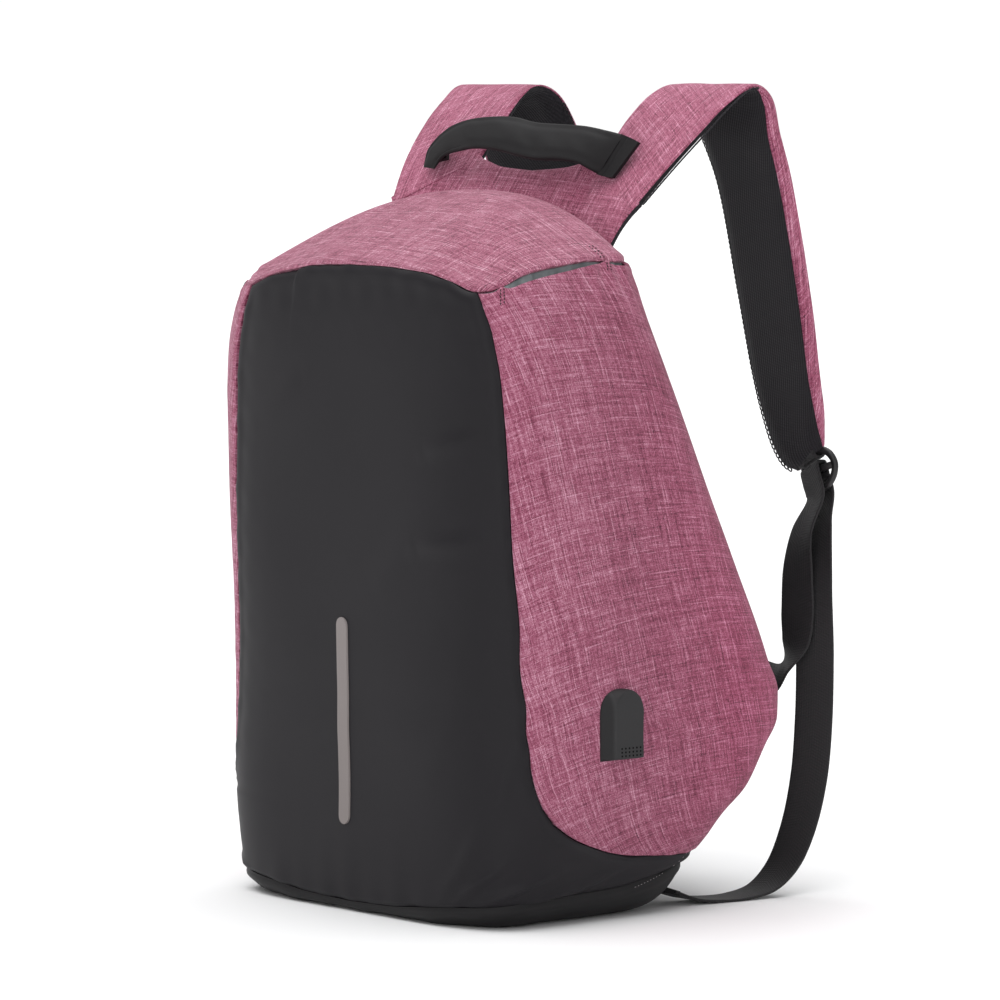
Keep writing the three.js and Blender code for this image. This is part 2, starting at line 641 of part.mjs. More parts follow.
// Strap slider: a frame of three bars hung at the slanted end of the strap.
const strapEnd = strapOut(1).add(strapIn(1)).multiplyScalar(0.5);
const sliderHang = vec(3.1, 0.6, -14.6);
const sliderAt = strapEnd.clone().add(sliderHang);
const sliderAcross = vec(0.897, -0.256, 0.359).normalize();
const sliderDown = vec(0.34, -0.02, -0.94);
sliderDown.addScaledVector(sliderAcross, -sliderDown.dot(sliderAcross)).normalize();
const sliderBack = sliderDown.clone().cross(sliderAcross).normalize();
if (sliderBack.y < 0) sliderBack.negate();
const sliderSpot = (u, w, n) => sliderAt.clone().addScaledVector(sliderAcross, u)
  .addScaledVector(sliderDown, w).addScaledVector(sliderBack, n);
function sliderFrame(side, sign) {
  const frame = new THREE.Shape();
  frame.moveTo(-14, -14).lineTo(14, -14).lineTo(17, -11).lineTo(17, 11).lineTo(14, 14).lineTo(-14, 14);
  frame.lineTo(-17, 11).lineTo(-17, -11).lineTo(-14, -14);
  for (const [from, to] of [[-9.5, -2], [3, 10]]) {
    const slot = new THREE.Path();
    slot.moveTo(-13.4, from).lineTo(-13.4, to).lineTo(13.4, to).lineTo(13.4, from).lineTo(-13.4, from);
    frame.holes.push(slot);
  }
  const raw = new THREE.ExtrudeGeometry(frame, { depth: 4, bevelEnabled: false });
  const place = raw.attributes.position;
  const seen = new Map();
  const points = [];
  const ids = [];
  for (let i = 0; i < place.count; i++) {
    const key = [place.getX(i), place.getY(i), place.getZ(i)].map((c) => Math.round(c * 1000)).join();
    if (!seen.has(key)) {
      seen.set(key, points.length);
      const p = sliderSpot(place.getX(i), place.getY(i), place.getZ(i) - 2);
      p.x *= sign;
      points.push(p);
    }
    ids.push(seen.get(key));
  }
  const faces = [];
  for (let i = 0; i < ids.length; i += 3) faces.push([ids[i], ids[i + 1], ids[i + 2]]);
  return solid(`slider_${side}`, points, faces);
}

// Short webbing loop from the strap end round the top bar of the slider.
const loopRows = [[-13.9, 3.3], [-12, 3.3], [-9.6, 3.3], [-8, 2.6], [-7.6, 0], [-8, -2.6], [-9.6, -3.3], [-12, -3.3],
  [-13.9, -3.3]];
const sliderRow = (w, n) => {
  const p = sliderSpot(0, w, n);
  return { x: p.x, y: p.y, z: p.z, ax: sliderAcross.x, ay: sliderAcross.y, az: sliderAcross.z };
};

// Webbing: sewn at the heel, along the floor, up to the slider, through it and down again as a free tail.
const heelAt = off(131.5 * rad, 0.8, 1);
const heelRow = { x: heelAt.x + 15.8, y: heelAt.y + 4.3, z: heelAt.z - 3.4, ax: 1, ay: 0.1, az: 0 };
const riseRows = [
  { x: 0.7336, y: 0.6131, z: 0.0076, ax: 1, ay: 0, az: 0 },
  { x: 0.7533, y: 0.7143, z: 0.0027, ax: 1, ay: 0, az: 0 },
  { x: 0.773, y: 0.8512, z: 0.0022, ax: 1, ay: 0, az: 0 },
  { x: 0.7895, y: 0.9881, z: 0.0067, ax: 1, ay: 0, az: 0 },
  { x: 0.8092, y: 1.0893, z: 0.0311, ax: 1, ay: -0.05, az: 0 },
  { x: 0.8289, y: 1.1548, z: 0.08, ax: 1, ay: -0.1, az: 0 },
  { x: 0.8322, y: 1.1905, z: 0.16, ax: 1, ay: -0.12, az: 0 },
  { x: 0.8322, y: 1.2024, z: 0.2444, ax: 1, ay: -0.12, az: 0 },
  { x: 0.8322, y: 1.1964, z: 0.3333, ax: 1, ay: -0.12, az: 0 },
  { x: 0.8224, y: 1.1964, z: 0.4444, ax: 1, ay: -0.16, az: 0.05 },
  { x: 0.8191, y: 1.2262, z: 0.5244, ax: 0.95, ay: -0.2, az: 0.2 },
];
const tailRows = [
  { x: 0.7763, y: 1.1607, z: 0.5111, ax: 0.97, ay: -0.2, az: 0.1 },
  { x: 0.7533, y: 1.1429, z: 0.4556, ax: 1, ay: -0.2, az: 0 },
  { x: 0.7434, y: 1.131, z: 0.3956, ax: 1, ay: -0.2, az: 0 },
  { x: 0.7336, y: 1.119, z: 0.3556, ax: 0.95, ay: 0, az: -0.25 },
  { x: 0.7039, y: 1.1012, z: 0.3289, ax: 0.8, ay: 0.1, az: -0.6 },
  { x: 0.6645, y: 1.0774, z: 0.3111, ax: 0.62, ay: 0.1, az: -0.78 },
  { x: 0.6053, y: 1.0625, z: 0.2956, ax: 0.55, ay: 0.1, az: -0.83 },
];
const slotRows = [[16, 3.4], [4, 3.2], [-2, 3.1], [-4, 2.5], [-4.5, 0], [-4, -2.5], [-2, -3.1], [4, -3.2], [16, -3.6]];
const slotLine = slotRows.map(([w, n]) => sliderRow(w, n));
const webLine = [heelRow, ...riseRows.map(place), ...slotLine, ...tailRows.map(place)];
const loopLine = loopRows.map(([w, n]) => sliderRow(w, n));
const webHalf = () => webWidth / 2;
const webThin = () => webThick / 2;

// Heel tab: a folded wedge of cloth from the rim of the base to the end of the webbing.
const tabInner = heelAt.clone().add(vec(3.4, 2.5, -3.4));
const tabOuter = heelAt.clone().add(vec(28.2, 5, -3.4));
function heelTab(side, sign) {
  const sheet = (face) => along(4, (t) => along(4, (s) => {
    const rim = off(mix(136, 127, s) * rad, 0.8, 1);
    const end = tabInner.clone().lerp(tabOuter, s);
    const p = rim.lerp(end, t);
    p.z += face * mix(2.4, 1.3, t);
    p.x *= sign;
    return p;
  }));
  return shell(`webbing_tab_${side}`, sheet(1), sheet(-1));
}
for (const [side, sign] of [['right', 1], ['left', -1]]) {
  parts.push(sliderFrame(side, sign));
  parts.push(band(`strap_loop_${side}`, loopLine, 16, webHalf, webThin, flatBand, sign));
  parts.push(band(`webbing_${side}`, webLine, 66, webHalf, webThin, flatBand, sign));
  parts.push(heelTab(side, sign));
}

const group = new THREE.Group();
group.name = 'backpack';
for (const part of parts) group.add(part);
export default group;
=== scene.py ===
import math

import bmesh
import bpy
import numpy as np
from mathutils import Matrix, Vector


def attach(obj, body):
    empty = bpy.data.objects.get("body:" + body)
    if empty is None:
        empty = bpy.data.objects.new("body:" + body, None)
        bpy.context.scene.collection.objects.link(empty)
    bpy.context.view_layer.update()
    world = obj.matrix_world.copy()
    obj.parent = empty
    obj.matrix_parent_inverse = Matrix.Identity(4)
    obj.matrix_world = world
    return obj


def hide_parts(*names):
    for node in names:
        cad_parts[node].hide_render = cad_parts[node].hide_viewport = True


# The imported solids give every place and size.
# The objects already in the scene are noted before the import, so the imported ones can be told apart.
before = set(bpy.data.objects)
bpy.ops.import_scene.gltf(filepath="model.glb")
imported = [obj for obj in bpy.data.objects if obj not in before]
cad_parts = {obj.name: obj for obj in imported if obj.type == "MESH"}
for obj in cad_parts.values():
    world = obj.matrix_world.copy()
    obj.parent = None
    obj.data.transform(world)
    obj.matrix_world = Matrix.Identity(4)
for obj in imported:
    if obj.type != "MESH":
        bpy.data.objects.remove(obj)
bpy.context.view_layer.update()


# Camera: a long lens a little above the floor, off the front right corner of the bag.
# It looks at the middle of the bag, straps included.
def linked(name, data):
    """A new object in the scene."""
    made = bpy.data.objects.new(name, data)
    bpy.context.scene.collection.objects.link(made)
    return made


camera_aim = Vector((0, 0.0424, 0.252))
camera_place = Vector((2.6739, -2.2013, 0.5083))
camera = linked("camera", bpy.data.cameras.new("camera"))
camera.location = camera_place
camera.rotation_euler = (camera_aim - camera_place).to_track_quat("-Z", "Y").to_euler()
camera.data.sensor_width = 36
camera.data.lens = 197.8
camera.data.clip_end = 60
bpy.context.scene.camera = camera


# The stuffed body. The real bag is cut from flat cloth and filled, so its walls are one loft:
# a squarish ring at each height, a pan for a base and a dome for a top.
# skin(turn, v) is a point of it: v runs 0 to 1 under the base, 1 to 2 up the walls, 2 to 3 over the top.
CREST = 0.450
HALF_WIDTH = 0.152
FRONT_REACH = 0.088
REAR_REACH = 0.168
FRONT_SQUARENESS = 4.7
REAR_SQUARENESS = 7.0
FOOT_HALF_WIDTH = 0.110
FOOT_FRONT = -0.070
FOOT_REAR = 0.052
CROWN_Y = 0.024
# Rough metres of cloth for one unit of v under the base, up the walls and over the top, then for a radian.
BASE_RATE, WALL_RATE, TOP_RATE, TURN_RATE = 0.09, 0.39, 0.11, 0.15
SIDES = (("right", 1), ("left", -1))


def clamp(x):
    return np.clip(x, 0, 1)


def smooth(x):
    x = clamp(x)
    return x * x * (3 - 2 * x)


def bell(x):
    return np.exp(-(x**2))


def mix(a, b, t):
    return a + (b - a) * t


def smooth_line(rows):
    """A line through short rows of (place, value), which never overshoots them."""
    xs, ys = (np.array(column, float) for column in zip(*rows))
    slope = np.diff(ys) / np.diff(xs)
    tangent = np.concatenate([slope[:1], np.zeros(len(slope) - 1), slope[-1:]])
    for i in range(1, len(slope)):
        if slope[i - 1] * slope[i] > 0:
            tangent[i] = 2 / (1 / slope[i - 1] + 1 / slope[i])

    def line(x):
        x = np.clip(np.asarray(x, float), xs[0], xs[-1])
        i = np.clip(np.searchsorted(xs, x, side="right") - 1, 0, len(slope) - 1)
        step = xs[i + 1] - xs[i]
        t = (x - xs[i]) / step
        ends = ys[i] * (1 + 2 * t) * (1 - t) ** 2 + ys[i + 1] * t * t * (3 - 2 * t)
        return ends + step * (tangent[i] * t * (1 - t) ** 2 - tangent[i + 1] * t * t * (1 - t))

    return line


def columns(rows):
    """One smooth line for each column of a table after its first."""
    return [smooth_line([(row[0], row[k]) for row in rows]) for k in range(1, len(rows[0]))]


# Outline by height: share of the crest, then shares of the front reach, rear reach and half width.
BODY_ROWS = [
    (0, 0.9, 0.3, 0.8),
    (0.018, 0.943, 0.357, 0.862),
    (0.036, 0.955, 0.429, 0.895),
    (0.062, 0.955, 0.5, 0.928),
    (0.078, 0.955, 0.571, 0.947),
    (0.129, 0.955, 0.72, 0.98),
    (0.169, 0.955, 0.845, 0.993),
    (0.222, 0.96, 0.935, 1),
    (0.262, 0.966, 0.994, 1),
    (0.298, 0.966, 1, 1),
    (0.342, 0.972, 0.952, 0.993),
    (0.413, 0.977, 0.869, 0.987),
    (0.493, 0.989, 0.768, 0.98),
    (0.613, 1, 0.613, 0.972),
    (0.769, 1, 0.417, 0.955),
    (0.822, 0.989, 0.351, 0.941),
    (0.862, 0.966, 0.298, 0.921),
    (0.889, 0.943, 0.262, 0.892),
    (0.909, 0.92, 0.238, 0.872),
    (0.96, 0.68, 0.202, 0.8),
]
front_line, rear_line, half_line = columns(BODY_ROWS)

# Lower seam and top edge: turn in degrees from the front, then heights as shares of the crest.
EDGE_ROWS = [
    (0, 0.014, 0.9),
    (30, 0.017, 0.899),
    (50, 0.026, 0.893),
    (58, 0.03, 0.882),
    (64, 0.032, 0.868),
    (70, 0.035, 0.877),
    (78, 0.038, 0.893),
    (90, 0.041, 0.903),
    (101, 0.044, 0.909),
    (111, 0.056, 0.906),
    (120, 0.07, 0.91),
    (135, 0.078, 0.916),
    (180, 0.08, 0.922),
]
low_line, high_line = columns(EDGE_ROWS)
crown_bend = smooth_line([(0, 1.35), (45, 1.4), (90, 2.1), (110, 2.3), (180, 2)])


def signed_degrees(turn):
    return (np.degrees(turn) + 180) % 360 - 180


def turn_degrees(turn):
    return np.abs(signed_degrees(turn))


def low_edge(turn):
    return CREST * low_line(turn_degrees(turn))


def high_edge(turn):
    return CREST * high_line(turn_degrees(turn))


def body_reach(z):
    """Front, rear and half width of the walls at a height."""
    up = z / CREST
    return -front_line(up) * FRONT_REACH, rear_line(up) * REAR_REACH, half_line(up) * HALF_WIDTH


def ring_point(turn, front, rear, half, z):
    middle, deep = (front + rear) / 2, (rear - front) / 2
    n = np.where(np.cos(turn) > 0, FRONT_SQUARENESS, REAR_SQUARENESS)
    r = ((np.abs(np.sin(turn)) / half) ** n + (np.abs(np.cos(turn)) / deep) ** n) ** (-1 / n)
    return np.stack([r * np.sin(turn), middle - r * np.cos(turn), z + 0 * r], -1)


def wall(turn, z):
    return ring_point(turn, *body_reach(z), z)


def uneven(turn, points):
    """The left front corner is slack at its top and full below, the right rear one stands out at its top."""
    up, degrees = points[..., 2] / CREST, signed_degrees(turn)
    near = bell((degrees + 62) / 26)
    slack = 0.0095 * bell((up - 0.91) / 0.09)
    full = -0.0030 * clamp((up - 0.1) / 0.15) * clamp((0.86 - up) / 0.15)
    stand = 0.0075 * bell((degrees - 112) / 15) * bell((up - 0.915) / 0.055)
    sunk = -0.0035 * near * bell((up - 0.91) / 0.06)
    return np.stack([near * (slack + full), stand, sunk], -1)


def skin(turn, v):
    turn, v = np.broadcast_arrays(np.asarray(turn, float), np.asarray(v, float))
    low, high = low_edge(turn), high_edge(turn)
    seam = wall(turn, low)
    foot = ring_point(turn, FOOT_FRONT, FOOT_REAR, FOOT_HALF_WIDTH, 0 * turn)
    t = clamp((v - 0.5) / 0.5)[..., None]
    knee = mix(foot, seam, 0.8)
    knee[..., 2] = 0
    base = foot * (1 - t) ** 2 + knee * 2 * t * (1 - t) + seam * t * t
    base = np.where((v < 0.5)[..., None], foot * (v / 0.5)[..., None], base)
    walls, rim = wall(turn, mix(low, high, clamp(v - 1))), wall(turn, high)
    walls, rim = (points + uneven(turn, points) for points in (walls, rim))
    s = clamp(v - 2)
    rise = 1 - (1 - s) ** crown_bend(turn_degrees(turn))
    x, y, z = np.moveaxis(rim, -1, 0)
    top = np.stack([x * (1 - s), mix(y, CROWN_Y, s), mix(z, CREST, rise)], -1)
    return np.where((v <= 1)[..., None], base, np.where((v <= 2)[..., None], walls, top))


def outward(turn, v):
    turn, v = np.broadcast_arrays(np.asarray(turn, float), np.asarray(v, float))

    def rate(w):
        return np.where(w < 1, BASE_RATE, np.where(w < 2, WALL_RATE, TOP_RATE))

    up = np.minimum(2.999, v + 0.004 / rate(v + 0.001))
    down = np.maximum(0.001, v - 0.004 / rate(v - 0.001))
    normal = unit(np.cross(skin(turn + 0.03, v) - skin(turn - 0.03, v), skin(turn, up) - skin(turn, down)))
    normal[v > 2.97] = (0, 0, 1)
    normal[v < 0.05] = (0, 0, -1)
    return normal


def unit(vectors):
    return vectors / (np.linalg.norm(vectors, axis=-1, keepdims=True) + 1e-12)


def laid(turn, v):
    """Places on the body, the direction outwards there, and the three coordinates of each."""
    points = skin(turn, v)
    return points, outward(turn, v), *np.moveaxis(points, -1, 0)


def raised(points, out, by):
    """Points moved outwards, each by its own distance."""
    return points + out * np.asarray(by)[..., None]


def share(turn, z):
    low = low_edge(turn)
    return 1 + (z - low) / (high_edge(turn) - low)


def ripple(x, y, seed, size):
    """Soft uneven relief from -1 to 1, the same each run; size is the length of one swell."""
    value = 0
    for k in range(5):
        angle = math.radians(37 * seed + 72.4 * k * (1 + 0.13 * seed))
        wave = (x * math.cos(angle) + y * math.sin(angle)) * 2 * math.pi / (size * (0.7 + 0.16 * k))
        value = value + np.sin(wave + 1.7 * seed * (k + 1)) / 5
    return value


def finished(name, mesh):
    """Links a mesh at the origin, smooth, with its faces outwards."""
    work = bmesh.new()
    work.from_mesh(mesh)
    bmesh.ops.recalc_face_normals(work, faces=work.faces)
    if work.calc_volume(signed=True) < 0:
        bmesh.ops.reverse_faces(work, faces=work.faces)
    work.to_mesh(mesh)
    work.free()
    mesh.shade_smooth()
    mesh.set_sharp_from_angle(angle=math.radians(50))
    return linked(name, mesh)


def cloth_mesh(name, points, faces, uv):
    """A closed sheet with a UV in metres for each point."""
    mesh = bpy.data.meshes.new(name)
    mesh.from_pydata(points.tolist(), [], faces)
    corners = [i for face in faces for i in face]
    mesh.uv_layers.new(name="cloth").data.foreach_set("uv", uv[corners].astype(np.float32).ravel())
    return finished(name, mesh)


def grid_mesh(name, outer, inner, uv):
    """A sheet from two facing grids of points, outer side first."""
    rows, count = outer.shape[:2]
    index = np.arange(rows * count).reshape(rows, count)
    a, b, c, d = (part.ravel() for part in (index[:-1, :-1], index[1:, :-1], index[1:, 1:], index[:-1, 1:]))
    border = np.concatenate([index[0, :-1], index[:-1, -1], index[-1, :0:-1], index[:0:-1, 0]])
    after = np.roll(border, -1)
    rim = np.stack([border, after, after + rows * count, border + rows * count], 1)
    faces = np.concatenate([np.stack([a, b, c, d], 1), np.stack([a, d, c, b], 1) + rows * count, rim])
    points = np.concatenate([outer.reshape(-1, 3), inner.reshape(-1, 3)])
    return cloth_mesh(name, points, faces.tolist(), np.concatenate([uv.reshape(-1, 2)] * 2))


def ring_mesh(name, outer, inner, poles, uv, pole_uv):
    """A dish from two stacks of rings, each closed by a pole."""
    rings, count = outer.shape[:2]
    points = np.concatenate([outer.reshape(-1, 3), inner.reshape(-1, 3), np.array(poles)])
    index = np.arange(rings * count).reshape(rings, count)
    nxt = np.roll(index, -1, axis=1)
    quads = np.stack([index[:-1], nxt[:-1], nxt[1:], index[1:]], -1).reshape(-1, 4)
    side = rings * count
    faces = quads.tolist() + (quads[:, ::-1] + side).tolist()
    faces += [[int(a), int(b), 2 * side] for a, b in zip(index[-1], nxt[-1])]
    faces += [[int(b) + side, int(a) + side, 2 * side + 1] for a, b in zip(index[-1], nxt[-1])]
    faces += np.stack([nxt[0], index[0], index[0] + side, nxt[0] + side], -1).tolist()
    return cloth_mesh(name, points, faces, np.concatenate([uv.reshape(-1, 2)] * 2 + [[pole_uv, pole_uv]]))


def arc_lengths(points, axis, at):
    """Length along a grid's rows or columns, counted from one line of it."""
    step = np.linalg.norm(np.diff(points, axis=axis), axis=-1)
    pad = [(0, 0), (0, 0)]
    pad[axis] = (1, 0)
    total = np.cumsum(np.pad(step, pad), axis=axis)
    return total - np.take(total, [at], axis=axis)


def flat_uv(points, column=0):
    return np.stack([arc_lengths(points, 1, column), arc_lengths(points, 0, 0)], -1)


def dress(piece, material, node=None):
    """Gives a piece its cloth and body, and hides the imported node it replaces."""
    if material:
        piece.data.materials.append(material)
    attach(piece, "root")
    if node:
        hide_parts(node)


class Wire:
    """A shader socket that takes Python arithmetic."""

    def __init__(self, graph, socket):
        self.graph = graph
        self.socket = socket

    def __add__(self, other):
        return self.graph.math("ADD", self, other)

    __radd__ = __add__

    def __sub__(self, other):
        return self.graph.math("SUBTRACT", self, other)

    def __rsub__(self, other):
        return self.graph.math("SUBTRACT", other, self)

    def __mul__(self, other):
        return self.graph.math("MULTIPLY", self, other)

    __rmul__ = __mul__

    def __truediv__(self, other):
        return self.graph.math("DIVIDE", self, other)

    def __mod__(self, other):
        return self.graph.math("FLOORED_MODULO", self, other)

    def floor(self):
        return self.graph.math("FLOOR", self)

    def sine(self):
        return self.graph.math("SINE", self)

    def wave(self, length):
        return (self * (2 * math.pi / length)).sine()

    def fold(self):
        return self.graph.math("ABSOLUTE", self)

    def lift(self, low, high):
        """0 below low, 1 above high, smooth between."""
        inputs = {"Value": self, "From Min": low, "From Max": high}
        return self.graph.node("ShaderNodeMapRange", {"interpolation_type": "SMOOTHSTEP"}, inputs)


class Graph:
    """One material's nodes, with its surface shader."""

    def __init__(self, name, **fixed):
        self.material = bpy.data.materials.new(name)
        self.material.use_nodes = True
        self.tree = self.material.node_tree
        self.tree.nodes.clear()
        self.shader = self.tree.nodes.new("ShaderNodeBsdfPrincipled")
        output = self.tree.nodes.new("ShaderNodeOutputMaterial")
        self.tree.links.new(self.shader.outputs["BSDF"], output.inputs["Surface"])
        self.set(**fixed)

    def set(self, **values):
        for key, value in values.items():
            self.feed(self.shader.inputs[key.replace("_", " ")], value)

    def feed(self, socket, value):
        if isinstance(value, Wire):
            self.tree.links.new(value.socket, socket)
        else:
            socket.default_value = value

    def node(self, kind, settings=None, inputs=None, output=0):
        made = self.tree.nodes.new(kind)
        for key, value in (settings or {}).items():
            setattr(made, key, value)
        for key, value in (inputs or {}).items():
            self.feed(made.inputs[key], value)
        return Wire(self, made.outputs[output])

    def math(self, operation, a, b=0.0):
        return self.node("ShaderNodeMath", {"operation": operation}, {0: a, 1: b})

    def parts(self, vector):
        split = self.tree.nodes.new("ShaderNodeSeparateXYZ")
        self.feed(split.inputs[0], vector)
        return [Wire(self, split.outputs[i]) for i in range(3)]

    def join(self, x, y, z=0.0):
        return self.node("ShaderNodeCombineXYZ", None, {0: x, 1: y, 2: z})

    def grain(self, lean=0.0):
        """Cloth coordinates in metres, as cut and then turned by lean degrees."""
        u, w = self.parts(self.node("ShaderNodeUVMap", {"uv_map": "cloth"}))[:2]
        c, s = math.cos(math.radians(lean)), math.sin(math.radians(lean))
        return u, w, u * c + w * s, w * c - u * s

    def place(self):
        return self.node("ShaderNodeTexCoord", None, None, "Object")

    def noise(self, vector, scale, detail=2.0):
        inputs = {"Vector": vector, "Scale": scale, "Detail": detail, "Roughness": 0.5}
        return self.node("ShaderNodeTexNoise", None, inputs, "Fac")

    def ramp(self, factor, stops):
        made = self.node("ShaderNodeValToRGB", None, {"Fac": factor})
        elements = made.socket.node.color_ramp.elements
        while len(elements) < len(stops):
            elements.new(1)
        for element, (place, colour) in zip(elements, stops):
            element.position = place
            element.color = (*colour, 1)
        return made

    def blend(self, factor, a, b):
        a, b = (value if isinstance(value, Wire) else (*value, 1) for value in (a, b))
        return self.node("ShaderNodeMix", {"data_type": "RGBA"}, {0: factor, 6: a, 7: b}, 2)

    def bump(self, height, distance, strength=1.0):
        inputs = {"Height": height, "Distance": distance, "Strength": strength}
        self.set(Normal=self.node("ShaderNodeBump", None, inputs))


# Front: one sheet of smooth coated cloth, sewn at the lower seam, up both sides and across the top.
# A tongue of it wraps under each side panel to the rear corner. Stuffing rounds it, the seams pucker it.
FRONT_THICK = 0.0024
FRONT_RADIUS = 0.12
SEWN = 0.0002
SEAM_HALF = 0.00026
KNEE_TURN = 67.9
KNEE_UP, HEAD_UP, NAPE_UP = 0.144, 0.868, 0.91
# Side seam: share of the crest, then turn in degrees. Seam over the tongue: turn, then share of the crest.
front_seam_turn = smooth_line(
    [
        *((0.144, 67.9), (0.172, 62.4), (0.204, 59.3), (0.236, 57.3), (0.278, 55.6)),
        *((0.347, 55.8), (0.42, 57.6), (0.507, 59.1), (0.607, 61.7), (0.713, 64.1)),
        *((0.769, 65), (0.811, 65.1), (0.84, 64.6), (0.868, 64)),
    ]
)
boat_seam_up = smooth_line(
    [
        *((67.9, 0.144), (75.3, 0.122), (82.6, 0.107), (89.8, 0.096)),
        *((96.9, 0.089), (106.6, 0.084), (118.3, 0.081), (126, 0.082)),
    ]
)
# The filling has pushed the left seam further round to the front than the right one: v, then degrees.
left_shift = smooth_line([(1.1, 0), (1.22, 8), (1.45, 9.2), (1.7, 9.2), (1.9, 7.2), (2, 2.5)])
# Creases: turn in radians and height in metres at each end, then width and rise.
CREASES = [
    (1.02, 0.014, 1.32, 0.036, 0.0030, 0.0030),
    (1.20, 0.012, 1.52, 0.026, 0.0026, 0.0026),
    (1.40, 0.016, 1.68, 0.034, 0.0026, 0.0022),
    (0.88, 0.014, 0.94, 0.125, 0.0045, 0.0019),
    (0.94, 0.012, 1.06, 0.045, 0.0030, 0.0022),
    (-1.00, 0.015, -1.24, 0.03, 0.0026, 0.0014),
    (-0.92, 0.3, -0.4, 0.335, 0.0090, 0.0008),
    (0.72, 0.290, 1.02, 0.304, 0.0045, 0.0022),
    (0.60, 0.232, 1.00, 0.240, 0.0050, 0.0026),
    (0.24, 0.2, 0.8, 0.26, 0.0120, 0.0007),
    (0.60, 0.09, 0.92, 0.20, 0.0100, 0.0008),
]


def rear_turn(z):
    """Turn of the rear corner in degrees."""
    front, rear, half = body_reach(z)
    return 180 - np.degrees(np.arctan2(half, (rear - front) / 2)) + 5


def spot(turn, up):
    turn = np.radians(turn)
    return np.stack([turn, share(turn, up * CREST)], -1)


def ease(count, power=1.0):
    return np.linspace(0, 1, count + 1) ** power


def aside(line, by):
    """A line of (turn, v) moved to its left by a distance in metres."""
    step = np.gradient(line, axis=0) * [TURN_RATE, WALL_RATE]
    left = np.stack([-step[:, 1], step[:, 0]], -1)
    return line + unit(left) * by / [TURN_RATE, WALL_RATE]


def shifted(line):
    moved = line.copy()
    moved[:, 0] -= np.radians(left_shift(line[:, 1]))
    return moved


heel_turn = float(rear_turn(CREST * 0.082))
heel_low = float(rear_turn(CREST * 0.0735)) - 0.3
nape_turn = float(rear_turn(CREST * NAPE_UP))
boat_turns = mix(KNEE_TURN, heel_turn, ease(40))
boat_line = spot(boat_turns, boat_seam_up(boat_turns))
rising_up = mix(KNEE_UP, HEAD_UP, ease(90, 0.9))
rising_line = spot(front_seam_turn(rising_up), rising_up)


def front_sheet():
    """Turn and v in rows from the lower seam up; each runs from the left seam to the right one."""
    heel = [(math.radians(heel_low), 1 + SEWN / WALL_RATE)]
    left, right = (
        np.concatenate([heel, aside(np.concatenate([boat_line[::-1], line[1:]]), SEAM_HALF)])
        for line in (shifted(rising_line), rising_line)
    )
    across = np.linspace(-1, 1, 201)
    turn = across * np.where(across < 0, left[:, :1], right[:, :1])
    v = np.where(across < 0, left[:, 1:], right[:, 1:])
    return turn, np.minimum(v, 2 - SEWN / WALL_RATE)


def crease_relief(turn, z):
    """Soft ridges along short straight lines of the front."""
    total = 0 * z
    for turn_a, z_a, turn_b, z_b, width, rise in CREASES:
        s, up = (turn - turn_a) * FRONT_RADIUS, z - z_a
        long, tall = (turn_b - turn_a) * FRONT_RADIUS, z_b - z_a
        along = clamp((s * long + up * tall) / (long**2 + tall**2))
        away = np.hypot(s - along * long, up - along * tall)
        total = total + rise * bell(away / width) * np.sin(math.pi * np.clip(along, 0.06, 0.94))
    return total


def swell(x, z):
    return 0.0007 * ripple(x, z, 3, 0.11)


def coated_cloth(name, colour=(0.0100, 0.0088, 0.0110), rough=0.5):
    g = Graph(name, Specular_IOR_Level=0.2)
    place = g.place()
    drift, grain, rub = g.noise(place, 9, 3), g.noise(place, 2600, 1), g.noise(place, 60, 4)
    shade = drift * 0.22 + rub * 0.12 + 0.82
    tint = g.node("ShaderNodeVectorMath", {"operation": "SCALE"}, {0: colour, "Scale": shade})
    g.set(Base_Color=tint, Roughness=rough - 0.05 + drift * 0.1 + grain * 0.05)
    g.bump(grain * 0.35 + rub * 0.4, 0.00012, 0.5)
    return g.material


turn, v = front_sheet()
points, out, x, y, z = laid(turn, v)
to_low = arc_lengths(points, 0, 0)
border = np.concatenate([points[:, 0], points[-1], points[::-1, -1]])
to_high = np.stack([np.linalg.norm(row[:, None] - border[None], axis=-1).min(1) for row in points])
pull = 0.0012 * np.exp(-to_high / 0.012) * (x < -0.05) * clamp((z - 0.07) / 0.05)
relief = swell(x, z) * clamp(to_low / 0.03) + crease_relief(turn, z) - pull
pucker = np.exp(-to_high / 0.014) * 0.0009 * ripple(x, z, 7, 0.02)
gather = np.exp(-to_low / 0.02) * 0.0011 * ripple(x, z * 0.3, 5, 0.034)
tuck = -0.0013 * (bell(to_high / 0.0022) + bell(to_low / 0.0022))
roll = 0.0006 * bell((to_high - 0.006) / 0.004)
lay = raised(points, out, relief + pucker + gather + tuck + roll)
under = raised(points, out, tuck - FRONT_THICK)
front = grid_mesh("front_cloth", lay, under, np.stack([x, z], -1))
dress(front, coated_cloth("black_coated_cloth"), "front_panel")

# Sides: plain woven melange cloth, pale and dark slub threads both ways, cut with the grain leaning back.
# Each runs from the front seam round the rear corner; its top edge is one lip of the slit pocket.
SIDE_THICK = 0.002
# Slit: turn in degrees, then how far its lips stand open in mm. The bar-tacks hold it at two turns.
slit_open = smooth_line(
    [
        *((63.6, 0.1), (65, 1.3), (67, 1.8), (69, 1.2), (70, 0.1), (71.2, 2.2), (74, 4.2)),
        *((79, 4.8), (86, 4.6), (93, 4.1), (99, 3.2), (102.3, 1.6), (103.4, 0.1), (104.6, 1.7)),
        *((107, 3.2), (110, 3.4), (113, 2.6), (116, 1.2), (118.2, 0.15)),
    ]
)
TACKS = (70.0, 103.4)
